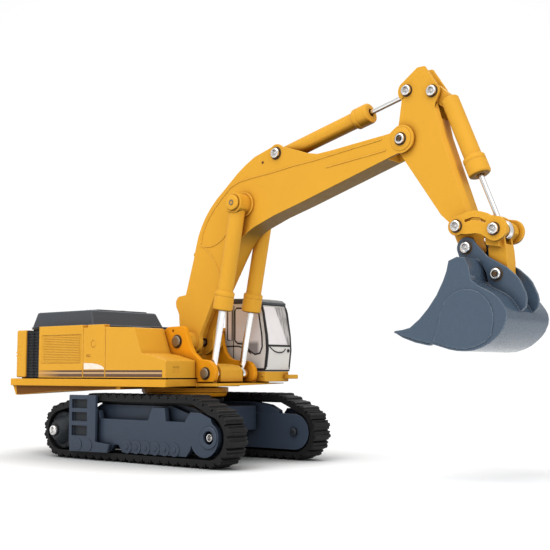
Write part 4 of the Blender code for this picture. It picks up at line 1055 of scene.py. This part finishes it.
def cab_inside():
    """The seat with an arm and a lever on each side, and the console in front of it."""
    cushion = [(9.4, 25.6), (14.4, 25.4), (14.7, 26.1), (14.3, 26.9), (10.8, 27.3)]
    rest = [(9.2, 26.4), (10.9, 26.9), (10.6, 31.6), (10.2, 32.6), (9.0, 32.5), (8.6, 31.8)]
    head = [(9.2, 32.4), (10.1, 32.5), (10.0, 34.3), (9.5, 34.6), (8.7, 34.4), (8.6, 33.2)]
    pads = [side(*pad) for pad in ((cushion, 11.5, 15.8), (rest, 11.6, 15.7), (head, 12.5, 14.8))]
    base = block((9.8, 13.6), (12.2, 15.1), (CAB_Z, 25.8))
    finish("seat", base, "upper", BLACK, ["operator_seat"], add=pads, bevel=0.3, steps=3)
    outline = [(10.4, 28.9), (13.4, 28.7), (13.6, 29.2), (10.4, 29.6)]
    lever = [(0, 0), (0, 0.2), (1.5, 0.2), (1.6, 0.42), (2.3, 0.36), (2.45, 0)]
    for name, span, y in (("seat_arms", (10.9, 11.7), 11.3), ("seat_arm_left", (15.6, 16.4), 16.0)):
        stick = lathe((12.9, y, 29.0), (0.1, 0, 1), lever, 16)
        finish(name, side(outline, *span), "upper", BLACK, add=[stick], bevel=0.08)
    z = CAB_Z + 0.1
    console = side([(15.2, z), (17.6, z), (17.9, 26.4), (17.0, 28.4), (15.6, 27.0)], 10.6, 12.6)
    finish("cab_console", console, "upper", BLACK, bevel=0.2)


def cab():
    cab_base()
    cab_shell()
    cab_trim()
    cab_panes()
    wiper()
    grab_rail()
    cab_inside()


# ---------------------------------------------------------------- work equipment


def pin(name, at, half, body, node, look=RIVET, radius=1.2, shaft=0.6, height=0.55, hollow_head=True):
    """A rivet along Y: a shaft with a formed head at both ends."""
    length = 2 * half
    far = head_profile(length, radius, height, hollow_head)
    near = [(length - distance, r) for distance, r in far[::-1]]
    profile = near + [(0, shaft), (length, shaft)] + far
    finish(name, turned(at, MID_Y - half, 1, profile, 40), body, look, [node], bevel=0)


def shadow_rings(name, at, planes, body, reach):
    """A dark ring round a rivet's head, on each of the (y, out) planes: painted shadow where the head meets
    the face.
    """
    radius = reach * 0.94
    section = [
        (-0.05, radius * 0.5), (-0.05, radius), (0.05, radius), (0.07, radius * 0.93), (0.07, radius * 0.5),
    ]
    for number, (y, out) in enumerate(planes, start=1):
        finish(f"{name}_{number}", turned(at, y, out, section, 40, closed=True), body, DARK_MARK_AND_SHADE, bevel=0)


def sockets(name, at, half, body):
    """A dark disc in the middle of a rivet's head, on both sides: painted shade in the head's hollow."""
    for side_name, y, out in both_named(MID_Y - half, MID_Y + half):
        finish(f"{name}_{side_name}", turned(at, y, out, bar(0, 0.62, 0.46), 24), body, DARK_MARK_AND_SHADE, bevel=0)


def boom_seams(name, y, out):
    """The weld lines, the bosses and the long raised panel on one side of the boom."""
    low = [(9.1, 54.4), (10.9, 53.4), (12.2, 52.2), (13.3, 50.7), (14.4, 49.2), (15.3, 47.5), (15.9, 45.8)]
    cross = [
        (9.1, 54.4), (11.0, 53.9), (12.7, 53.9), (14.3, 54.3), (15.6, 54.9), (16.8, 55.7), (17.7, 56.7),
        (18.5, 57.9), (19.0, 59.4),
    ]
    spine = [(9.1, 54.4), (9.6, 57.2), (11.2, 60.4), (13.6, 63.4), (16.6, 66.2), (19.2, 68.3), (22.0, 69.4)]
    spine += [
        (26.0, 69.9), (33.0, 70.5), (40.0, 71.3), (45.5, 71.7), (52.0, 72.5), (58.0, 73.2), (64.5, 73.9),
    ]
    lower = [(49.0, 69.6), (55.0, 70.2), (60.0, 70.7), (65.6, 71.3)]
    for number, line in enumerate((low, cross, spine, lower), start=1):
        finish(f"boom_weld_{name}_{number}", bead(line, y - out * 0.05, 0.20), "boom", YELLOW, bevel=0)
    boss = [(-0.3, 0.95), (-0.3, 3.1), (0.5, 3.1), (0.62, 2.95), (0.62, 0.95)]
    ring = turned(BARREL_TOP, y, out, boss, 56, closed=True)
    finish(f"boom_cylinder_boss_{name}", ring, "boom", YELLOW, bevel=0)
    tip = [(-0.2, 0.95), (-0.2, 2.6), (0.1, 2.6), (0.16, 2.5), (0.16, 0.95)]
    finish(f"boom_tip_boss_{name}", turned(BOOM_TIP, y, out, tip, 56, closed=True), "boom", YELLOW, bevel=0)
    dot = bosses([(29.8, 73.3)], 0.3, *skin(y, out, 0.12, 0.2), 16)
    finish(f"boom_dot_{name}", dot, "boom", DARK_MARK_AND_SHADE, bevel=0.03)


BOOM_HALF = 3.1


def boom_casting():
    """The bent box of the boom, slotted at its foot, at its top for the arm cylinder and at its tip."""
    back = [
        (1.6, 33.4), (1.35, 36.0), (1.3, 37.0), (0.85, 37.9), (0.3, 38.9), (0.1, 39.8), (0.15, 40.5),
        (0.6, 41.3), (1.3, 41.7), (3.7, 42.0), (6.4, 50.9), (7.2, 54.1),
    ]
    bend = [
        (8.0, 56.8), (9.0, 59.0), (10.4, 61.4), (12.1, 63.6), (14.4, 65.9), (16.9, 67.9), (21.4, 71.6),
        (24.2, 73.5), (27.1, 75.1),
    ]
    lug = arc(ARM_CYLINDER_BASE, 2.3, 130, 40)
    top = [(40.5, 74.9), (43.5, 73.8), (46.4, 73.2), (51.0, 73.5), (56.0, 74.0), (66.6, 75.0)]
    tip = arc(BOOM_TIP, 3.2, 112, -105)
    belly = [
        (49.9, 64.6), (41.5, 62.1), (33.2, 59.8), (27.0, 57.6), (25.0, 56.6), (23.0, 55.2), (21.3, 53.2),
        (19.6, 50.6), (14.7, 42.7), (10.9, 35.6), (8.9, 32.0),
    ]
    foot = arc(BOOM_FOOT, 3.3, 15, -200)
    outline = back + bend + lug + top + tip + belly + foot
    y0, y1 = MID_Y - BOOM_HALF, MID_Y + BOOM_HALF
    foot_slot = [(4.6, 25.5), (12.0, 25.5), (12.5, 34.0), (15.5, 41.5), (12.6, 43.5), (7.4, 34.0)]
    top_slot = [(31.0, 72.2), (35.5, 72.2), (47.5, 75.2), (47.5, 79.5), (31.0, 79.5)]
    tip_slot = [(65.8, 66.0), (75.0, 66.0), (75.0, 79.0), (65.8, 79.0)]
    cuts = [side(o, MID_Y - h, MID_Y + h) for o, h in ((foot_slot, 1.8), (top_slot, 2.3), (tip_slot, 2.4))]
    cuts += [rod_y(BOOM_FOOT, 1.2, -9, 8)]
    cuts += [rod_y(at, 0.9, y0 - 1, y1 + 1) for at in (BARREL_TOP, ARM_CYLINDER_BASE, BOOM_TIP)]
    adds = [rod_y(BOOM_FOOT, 2.5, -7.1, 5.5)]
    adds += [rod_y(at, 0.62, MID_Y - 2.4, MID_Y + 2.4, 20) for at in ((6.35, 52.3), (16.2, 66.9))]
    finish("boom_casting", side(outline, y0, y1), "boom", YELLOW, ["boom"], cut=cuts, add=adds, bevel=0.16)
    for name, y, out in both_named(y0, y1):
        boom_seams(name, y, out)


def boom_pins():
    """The rivets at the boom's two ends and at its cylinders, with their rings of painted shadow, studs, and
    sockets darkened with painted shade.
    """
    pin("boom_foot_rivet", BOOM_FOOT, 8.3, "upper", "boom_foot_pin", DULL_RIVET, 1.4, 0.9, 0.4, False)
    pin("rod_foot_rivet", ROD_FOOT, 8.3, "upper", "boom_rod_foot_pin", DULL_RIVET, 1.3, 0.6, 0.4, False)
    pin("boom_tip_rivet", BOOM_TIP, BOOM_HALF + 0.3, "boom", "boom_tip_pin")
    pin(
        "arm_cylinder_rivet", ARM_CYLINDER_BASE, BOOM_HALF + 0.3, "boom", "arm_cylinder_base_pin",
        radius=1.25,
    )
    pin("boom_cylinder_rivet", BARREL_TOP, 7.6, "boom", "boom_cylinder_top_pin", YELLOW, 1.9, 0.6, 0.5, False)
    stud = [(0, 0), (0, 0.72), (0.12, 0.68), (0.12, 0.4), (0.02, 0.3), (0.02, 0)]
    for name, y, out in both_named(MID_Y - 8.05, MID_Y + 8.05):
        piece = turned(BARREL_TOP, y, out, stud, 24)
        finish(f"boom_cylinder_stud_{name}", piece, "boom", DULL_RIVET, bevel=0)
    sockets("boom_tip_hole_shade", BOOM_TIP, BOOM_HALF + 0.3, "boom")
    shadow_rings("boom_tip_shadow_ring", BOOM_TIP, both(BOOM_HALF + 0.16), "boom", 1.6)
    shadow_rings("arm_cylinder_shadow_ring", ARM_CYLINDER_BASE, both(BOOM_HALF), "boom", 1.7)


def boom():
    boom_casting()
    boom_pins()


def barrel_profile(start, end, collar, bore_radius, depth):
    """A barrel with a rounded base, a fat collar with a groove at its mouth, and a bore."""
    radius, fat = 1.95, 2.45
    neck = end - collar
    base = [(start, 0), (start, radius - 0.45), (start + 0.15, radius - 0.15), (start + 0.45, radius)]
    shoulder = [(neck - 0.45, radius), (neck - 0.2, radius + 0.12), (neck, fat - 0.05), (neck + 0.15, fat)]
    groove = [(neck + 0.9, fat), (neck + 1.0, fat - 0.09), (neck + 1.15, fat - 0.09), (neck + 1.25, fat)]
    mouth = [(end - 0.55, fat), (end - 0.2, fat - 0.12), (end, fat - 0.45), (end, bore_radius)]
    return base + shoulder + groove + mouth + [(depth, bore_radius), (depth, 0)]


def line_of(first, second, y):
    start = Vector((first[0], y, first[1]))
    along = Vector((second[0], y, second[1])) - start
    return start, along.normalized(), along.length


def rod_end(at, y, radius, half, hole):
    """A rounded rod eye along Y with a hole through it."""
    rise = [(-half, hole), (-half, radius - 0.35), (-half + 0.12, radius - 0.12), (-half + 0.35, radius)]
    return turned(at, y, 1, rise + [(-distance, r) for distance, r in rise[::-1]], 48, closed=True)


def tube(name, barrel, body, node, ears, hole):
    finish(name, barrel, body, YELLOW, [node], add=[ears], cut=[hole], bevel=0.1, sharp=40)


def rod(name, shaft, body, node, ring, hole):
    finish(name, shaft, body, CHROME, [node], add=[ring], cut=[hole], bevel=0)


def boom_cylinders():
    """Two cylinders outside the boom: barrels down from the top pin, rods up from the foot pin."""
    shaft = [(0.9, 0), (0.9, 0.6), (1.9, 0.72), (2.6, 0.85), (33.6, 0.85), (33.8, 0.7), (33.8, 0)]
    for name, sign in SIDES:
        y = MID_Y + sign * 5.35
        top, down, _ = line_of(BARREL_TOP, ROD_FOOT, y)
        barrel = lathe(top, down, barrel_profile(1.0, 26.6, 4.6, 1.15, 3.0))
        eye = rod_y(BARREL_TOP, 2.5, y - 1.95, y + 1.95, 56)
        hole = rod_y(BARREL_TOP, 1.55, y - 3, y + 3)
        tube(f"boom_cylinder_{name}", barrel, "boom_barrels", f"boom_barrel_{name}", eye, hole)
        foot, up, _ = line_of(ROD_FOOT, BARREL_TOP, y)
        plated = lathe(foot, up, shaft, 40)
        ring = rod_end(ROD_FOOT, y, 1.6, 0.95, 0.9)
        hole = rod_y(ROD_FOOT, 0.9, y - 2, y + 2)
        rod(f"boom_rod_{name}_plated", plated, "boom_rods", f"boom_rod_{name}", ring, hole)


def slim_rod(name, line, start, at, width, body, node):
    """The rod of the arm's or the bucket's cylinder, from inside its barrel to its eye."""
    base, along, length = line
    shaft = lathe(base, along, bar(start, length - 1.7, 0.6), 40)
    rod(name, shaft, body, node, rod_end(at, MID_Y, 2.15, width, 1.55), rod_y(at, 1.55, -3, 2))


def cylinders():
    """The cylinders of the boom, the arm and the bucket, each a tube and a plated rod."""
    boom_cylinders()
    line = line_of(ARM_CYLINDER_BASE, ARM_TAIL, MID_Y)
    barrel = lathe(*line[:2], barrel_profile(0.2, 26.6, 4.2, 0.9, 5.0))
    eye = rod_y(ARM_CYLINDER_BASE, 1.9, MID_Y - 1.9, MID_Y + 1.9, 48)
    hole = rod_y(ARM_CYLINDER_BASE, 0.9, -5, 3)
    tube("arm_cylinder_tube", barrel, "arm_barrel", "arm_barrel", eye, hole)
    slim_rod("arm_cylinder_rod", line, 9.0, ARM_TAIL, 1.0, "arm_rod", "arm_rod")

    barrel_top = (79.5, 82.9)
    line = line_of(barrel_top, LINK_ROD, MID_Y)
    barrel = lathe(*line[:2], barrel_profile(1.8, 20.9, 4.2, 0.9, 4.5))
    outline = arc(BUCKET_CYLINDER_BASE, 1.7, 60, 235) + [(79.6, 78.9), (81.4, 79.6), (80.3, 82.3)]
    ear = side(outline, MID_Y - 1.0, MID_Y + 1.0)
    hole = rod_y(BUCKET_CYLINDER_BASE, 0.9, -4, 3)
    tube("bucket_cylinder_tube", barrel, "bucket_barrel", "bucket_barrel", ear, hole)
    slim_rod("bucket_cylinder_rod", line, 11.0, LINK_ROD, 0.9, "bucket_rod", "bucket_rod")


def arm_body(outline, y0, y1):
    """The arm's outline along Y, with its front face narrowed by a slope on each side."""
    low, high = 55.0, 80.0

    def narrowed(depth):
        return [(x - depth, z) if low < z < high and x > 77.0 else (x, z) for x, z in outline]

    right, left = 0.85, 0.3
    rings = ((y0, narrowed(right)), (y0 + right, outline), (y1 - left, outline), (y1, narrowed(left)))
    bm = bmesh.new()
    loft_into(bm, [[(x, y, z) for x, z in ring] for y, ring in rings])
    return raw(bm)


ARM_HALF = 2.1


def arm():
    """The arm's casting with its slotted tail, and its four rivets."""
    tail = arc(ARM_TAIL, 2.4, 235, 135)
    head = arc(BUCKET_CYLINDER_BASE, 1.75, 40, -25)
    front = [(78.0, 80.6), (78.5, 79.0), (78.9, 77.6), (80.0, 72.7), (85.8, 55.9), (86.6, 52.6)]
    nose = arc(BUCKET_PIVOT, 2.0, 35, -150)
    heel = arc(LINK_ARM, 2.3, 220, 165)
    elbow = arc(BOOM_TIP, 3.1, 215, 140)
    throat = [(68.35, 76.6), (68.6, 78.0), (69.0, 80.6)]
    outline = tail + [(73.4, 89.0), (75.2, 89.0)] + head + front + nose + heel
    outline += [(79.6, 55.6), (68.6, 70.4)] + elbow + throat
    y0, y1 = MID_Y - ARM_HALF, MID_Y + ARM_HALF
    slot = [(66.0, 79.4), (80.5, 76.5), (82.0, 79.0), (82.0, 92.0), (66.0, 92.0)]
    cuts = [side(slot, MID_Y - 1.3, MID_Y + 1.3)]
    cuts += [
        rod_y(at, 0.9, y0 - 1, y1 + 1)
        for at in (ARM_TAIL, BUCKET_CYLINDER_BASE, BOOM_TIP, LINK_ARM, BUCKET_PIVOT)
    ]
    finish("arm_casting", arm_body(outline, y0, y1), "arm", YELLOW, ["arm"], cut=cuts, bevel=0.14)
    pin("arm_tail_rivet", ARM_TAIL, ARM_HALF + 0.3, "arm", "arm_tail_pin")
    pin("bucket_cylinder_rivet", BUCKET_CYLINDER_BASE, ARM_HALF + 0.3, "arm", "bucket_cylinder_base_pin")
    pin("idler_link_rivet", LINK_ARM, 4.6, "arm", "idler_link_pin")
    pin("bucket_pivot_rivet", BUCKET_PIVOT, 3.4, "arm", "bucket_pivot_pin")
    shadow_rings("arm_tail_shadow_ring", ARM_TAIL, both(ARM_HALF), "arm", 1.5)
    shadow_rings("bucket_cylinder_shadow_ring", BUCKET_CYLINDER_BASE, both(ARM_HALF), "arm", 1.5)


def linkage():
    """The two idler plates between the arm and the bucket cylinder, and the forked link to the bucket."""
    arch = [(84.9, 54.9), (85.9, 55.2), (87.0, 55.4), (88.2, 55.35), (89.4, 55.1), (90.6, 54.7), (91.8, 54.0)]
    belly = [(90.4, 49.6), (89.3, 50.3), (88.2, 50.6), (86.2, 50.6)]
    outline = arc(LINK_ARM, 2.0, 300, 120) + arch + arc((92.5, 51.3), 2.6, 70, -120) + belly
    groove = [
        (85.6, 53.6), (87.3, 54.0), (89.0, 53.8), (90.6, 53.0), (90.4, 52.6), (88.9, 53.3), (87.3, 53.5),
        (85.7, 53.1),
    ]
    for name, sign in SIDES:
        face = MID_Y + sign * 4.3
        through = skin(face, sign, 1, 1.9)
        cuts = [side(groove, *through)] + [rod_y(at, 0.9, *through) for at in (LINK_ARM, LINK_ROD)]
        plate = side(outline, *skin(face, sign, 0, 0.9))
        finish(f"idler_plate_{name}", plate, "idler_links", YELLOW, [f"idler_link_{name}"], cut=cuts)
    pin("link_rod_rivet", LINK_ROD, 4.6, "idler_links", "link_rod_pin")
    shadow_rings("link_rod_shadow_ring", LINK_ROD, both(4.3), "idler_links", 1.5)
    shadow_rings("link_arm_shadow_ring", LINK_ARM, both(4.3), "idler_links", 1.5)

    head = arc(LINK_ROD, 2.0, -20, 200) + [(89.6, 49.4), (89.8, 48.2), (92.8, 47.6), (92.7, 49.0)]
    stem = [(90.4, 50.0), (89.7, 47.5), (89.9, 44.0)] + arc(BUCKET_LINK, 1.95, 200, 380)
    stem += [(94.0, 44.5), (93.8, 47.0), (93.3, 50.0)]
    cuts = [side(arc(LINK_ROD, 3.1, 0, 360, 40)[:-1], MID_Y - 1.2, MID_Y + 1.2)]
    cuts += [rod_y(LINK_ROD, 0.9, -5, 4), rod_y(BUCKET_LINK, 1.55, -5, 4)]
    fork = side(head, MID_Y - 3.1, MID_Y + 3.1)
    shank = side(stem, MID_Y - 1.9, MID_Y + 1.9)
    finish("forked_link", shank, "bucket_link", YELLOW, ["bucket_link"], add=[fork], cut=cuts, bevel=0.14)


BUCKET_RIGHT, BUCKET_LEFT = -9.9, 9.3
TEETH, TOOTH = 5, 2.2
TOOTH_PITCH = (BUCKET_LEFT - BUCKET_RIGHT - TOOTH) / (TEETH - 1)


def bucket_casting():
    """The hollow bucket, open at its mouth, with two ears on its back and notches between the teeth."""
    mouth = [
        (71.1, 30.4), (71.2, 30.8), (73.2, 31.0), (75.0, 31.4), (77.3, 33.1),
        (79.4, 35.2), (81.5, 37.9), (83.1, 40.8), (83.9, 42.7), (84.4, 44.8),
    ]
    back = [
        (86.3, 45.5), (88.0, 45.3), (89.0, 43.4), (89.5, 40.6), (91.2, 39.3),
        (94.0, 37.9), (95.5, 36.7), (96.6, 35.2), (97.1, 34.2),
    ]
    drum = [
        (97.25, 33.2), (97.1, 32.1), (96.4, 30.6), (95.6, 29.6), (94.6, 28.7), (93.2, 27.7), (91.7, 27.0),
        (89.8, 26.45), (87.8, 26.3), (86.0, 26.4), (84.3, 26.7), (80.5, 27.8), (76.0, 28.9),
    ]
    outer = (mouth + back + drum)[::-1]
    wall = 0.9
    shut = (mouth[-1:] + back + drum + mouth[:1])[::-1]
    inside = inset(shut, wall)[1:-1] + [(78.0, 46.0), (69.0, 40.0), (69.0, 32.0)]
    cuts = [side(inside, BUCKET_RIGHT + wall, BUCKET_LEFT - wall)]
    ear = arc(BUCKET_PIVOT, 2.25, 205, 25) + [
        (88.6, 47.5), (89.7, 46.1), (92.1, 44.7), (94.3, 43.4), (96.3, 41.6), (97.2, 40.5), (97.8, 39.2),
        (98.35, 38.0), (98.6, 36.8), (98.4, 35.2), (97.4, 34.2), (96.5, 34.2), (95.3, 36.4), (92.0, 38.0),
        (90.4, 39.6), (89.7, 42.5), (88.4, 44.9), (85.2, 44.3), (84.0, 44.9),
    ]
    adds = [side(ear, *skin(y, out, 0, 0.7)) for y, out in both(3.1)]
    cuts += [rod_y(at, 0.9, MID_Y - 5, MID_Y + 5) for at in (BUCKET_PIVOT, BUCKET_LINK)]
    notch = [(70.0, 28.0), (73.6, 28.0), (74.0, 33.0), (70.0, 33.0)]
    starts = [BUCKET_RIGHT + i * TOOTH_PITCH for i in range(TEETH)]
    cuts += [side(notch, low + TOOTH, high) for low, high in zip(starts, starts[1:])]
    body = side(outer, BUCKET_RIGHT, BUCKET_LEFT)
    finish("bucket_casting", body, "bucket", GLOSS_SLATE, ["bucket"], cut=cuts, add=adds, bevel=0.16)


def bucket_drums():
    """The rounded panel that stands slightly out of each side."""
    bulge = arc((88.3, 32.7), 6.1, 178, -20, 26) + [(93.9, 29.4), (92.4, 28.1), (90.6, 27.3), (88.4, 26.8)]
    bulge += [(86.0, 26.9), (82.7, 27.6), (80.6, 28.4), (81.4, 30.4)]
    for name, y, out in both_named(BUCKET_RIGHT, BUCKET_LEFT):
        disc = side(bulge, *skin(y, out, 0.16, 0.1))
        finish(f"bucket_drum_{name}", disc, "bucket", GLOSS_SLATE, bevel=0.1)


def bucket():
    """The bucket with its teeth, and the rivet that joins it to the forked link."""
    bucket_drums()
    bucket_casting()
    shank = [(71.3, 30.35), (76.6, 28.75), (79.6, 27.95), (79.3, 27.6), (76.2, 28.25), (73.2, 29.3)]
    for i in range(TEETH):
        start = BUCKET_RIGHT + i * TOOTH_PITCH
        tooth = side(shank, start + 0.25, start + TOOTH - 0.25)
        finish(f"tooth_shank_{i + 1}", tooth, "bucket", GLOSS_SLATE, bevel=0.1)
    pin("bucket_link_rivet", BUCKET_LINK, 3.4, "bucket", "bucket_link_pin")
    sockets("bucket_link_hole_shade", BUCKET_LINK, 3.4, "bucket")
    shadow_rings("bucket_link_shadow_ring", BUCKET_LINK, both(3.1), "bucket", 1.55)
    shadow_rings("bucket_pivot_shadow_ring", BUCKET_PIVOT, both(3.1), "bucket", 1.55)


# ---------------------------------------------------------------- printed stripes


def stripe_look():
    """A printed band: a dark line, a tan line and a brown band that fades at its rear end."""
    made, tree, shader, place = start_look("printed_band", "black")
    axes = split_xyz(tree, place)
    height = remap(tree, axes["Z"], 20.9 * MM, 22.6 * MM, 0.0, 1.0)
    ramp = add_node(tree, "ShaderNodeValToRGB", {"Fac": height})
    ramp.color_ramp.interpolation = "CONSTANT"
    stops = [(0.0, (0.10, 0.045, 0.022)), (0.46, (0.50, 0.31, 0.14)), (0.74, (0.07, 0.030, 0.018))]
    while len(ramp.color_ramp.elements) < len(stops):
        ramp.color_ramp.elements.new(0.5)
    for element, (at, colour) in zip(ramp.color_ramp.elements, stops):
        element.position = at
        element.color = (*colour, 1.0)
    grain = noise(tree, place, 1200.0, 3.0)
    worn = mix(tree, remap(tree, grain, 0.62, 0.75, 0.0, 0.6), ramp.outputs["Color"], PRINT_WORN)
    start = (-36.0 + SHIFT.x) * MM
    fade = remap(tree, axes["X"], start, start + 9.0 * MM, 0.75, 0.0)
    base = mix(tree, fade, worn, PRINT_WORN)
    drive(tree, shader, Base_Color=base, Roughness=remap(tree, grain, 0.3, 0.7, 0.30, 0.42))
    return made


def flash_look():
    """Pale print that the paint below shows through in places."""
    made, tree, shader, place = start_look("printed_flash", "cab")
    grain = noise(tree, place, 1400.0, 3.0)
    base = mix(tree, remap(tree, grain, 0.55, 0.75, 0.0, 0.5), (0.82, 0.72, 0.62), (0.80, 0.50, 0.20))
    drive(tree, shader, Base_Color=base, Roughness=remap(tree, grain, 0.3, 0.7, 0.30, 0.42))
    return made


def prints():
    """The band along each flank, broken at the body's seams, and the pale flash above it."""
    band, flash = stripe_look(), flash_look()
    tail, nose = [(-14.4, 24.4), (-17.6, 24.5)], [(-9.7, 22.85), (-9.8, 23.2), (-10.6, 23.7), (-12.2, 24.15)]
    outline = [(-17.6, 22.85)] + nose + tail
    for name, y, out in both_named(-HALF, HALF):
        depth = skin(y, out, 0.035, 0.25)
        front_end = 11.3 if name == "right" else 5.0
        parts = [
            block(x, depth, (20.95, 22.6))
            for x in ((-36.2, -18.25), (-17.75, -9.65), (-9.15, front_end))
        ]
        finish(f"printed_band_{name}", parts[0], "upper", band, add=parts[1:], bevel=0)
        finish(f"printed_flash_{name}", side(outline, *depth), "upper", flash, bevel=0)


# ---------------------------------------------------------------- studio


def floor_look():
    """Pale and matt, with a painted shadow round the object's foot, and gone into the backdrop some way from
    the object.
    """
    made, tree, shader, place = start_look("studio_floor", "cab")
    cloud = noise(tree, place, 6.0, 2.0)
    pale = mix(tree, cloud, (0.86, 0.865, 0.87), (0.88, 0.885, 0.89))
    # Painted shadow where the object stands close over the floor.
    contact_shadow = weaken(tree, crevice_mask(tree, 30.0, 0.25, 1.0), 0.9)
    away = add_node(tree, "ShaderNodeVectorMath", {0: place}, operation="LENGTH").outputs["Value"]
    fade_start, fade_end = 0.16, 0.55
    drive(
        tree, shader,
        Base_Color=mix(tree, contact_shadow, pale, (0.16, 0.17, 0.17)),
        Roughness=remap(tree, cloud, 0.3, 0.7, 0.75, 0.85),
        Alpha=remap(tree, away, fade_start, fade_end, 1.0, 0.0),
    )
    shader.inputs["Specular IOR Level"].default_value = 0.0
    return made


def room():
    """A white backdrop behind the object, pale walls round it and a bright ceiling."""
    world = bpy.data.worlds.new("studio")
    bpy.context.scene.world = world
    world.use_nodes = True
    tree = world.node_tree
    facing = add_node(tree, "ShaderNodeTexCoord").outputs["Generated"]
    links = {0: facing, 1: (-0.637, 0.771, 0.0)}
    behind = add_node(tree, "ShaderNodeVectorMath", links, operation="DOT_PRODUCT").outputs["Value"]
    walls = remap(tree, behind, 0.70, 0.93, 0.70, 1.02)
    ceiling = remap(tree, split_xyz(tree, facing)["Z"], 0.40, 0.75, 0.0, 0.85)
    backdrop = tree.nodes["Background"]
    backdrop.inputs["Color"].default_value = (1.0, 1.0, 1.0, 1.0)
    tree.links.new(compute(tree, "MAXIMUM", walls, ceiling), backdrop.inputs["Strength"])


def lamp(name, at, target, size, power):
    """A square lamp that points at its target."""
    data = bpy.data.lights.new(name, "AREA")
    data.shape = "SQUARE"
    data.size = size
    data.energy = power
    obj = bpy.data.objects.new(name, data)
    obj.location = at
    obj.rotation_euler = (Vector(target) - Vector(at)).to_track_quat("-Z", "Y").to_euler()
    bpy.context.scene.collection.objects.link(obj)


def floor():
    """A wide disc just under the tracks."""
    bm = bmesh.new()
    bmesh.ops.create_circle(bm, cap_ends=True, segments=96, radius=30.0)
    mesh = bpy.data.meshes.new("studio_floor")
    bm.to_mesh(mesh)
    bm.free()
    disc = bpy.data.objects.new("studio_floor", mesh)
    disc.location.z = -0.0001
    mesh.materials.append(floor_look())
    bpy.context.scene.collection.objects.link(disc)


def photo_camera():
    data = bpy.data.cameras.new("camera")
    data.sensor_width = 36.0
    data.lens = 66.6327
    data.clip_start = 0.01
    camera = bpy.data.objects.new("camera", data)
    camera.location = (Vector((188.7, -191.5, 22.3)) + SHIFT) * MM
    camera.rotation_euler = (math.radians(90 + 5.414), 0, math.radians(39.57))
    bpy.context.scene.collection.objects.link(camera)
    bpy.context.scene.camera = camera
    bpy.context.scene.view_settings.view_transform = "Standard"


def studio():
    floor()
    room()
    lamp("key", (-0.05, -0.50, 0.80), (0, 0, 0.03), 0.7, 4.8)
    lamp("fill", (0.60, -0.40, 0.42), (0, 0, 0.04), 0.6, 2.0)
    lamp("rim", (-0.3, 0.6, 0.6), (0, 0, 0.03), 0.5, 1.5)
    photo_camera()


studio()
chassis()
for track_side in SIDES:
    undercarriage(*track_side)
deck()
house()
rear_end()
seals()
hood()
brackets()
cab()
boom()
cylinders()
arm()
linkage()
bucket()
prints()
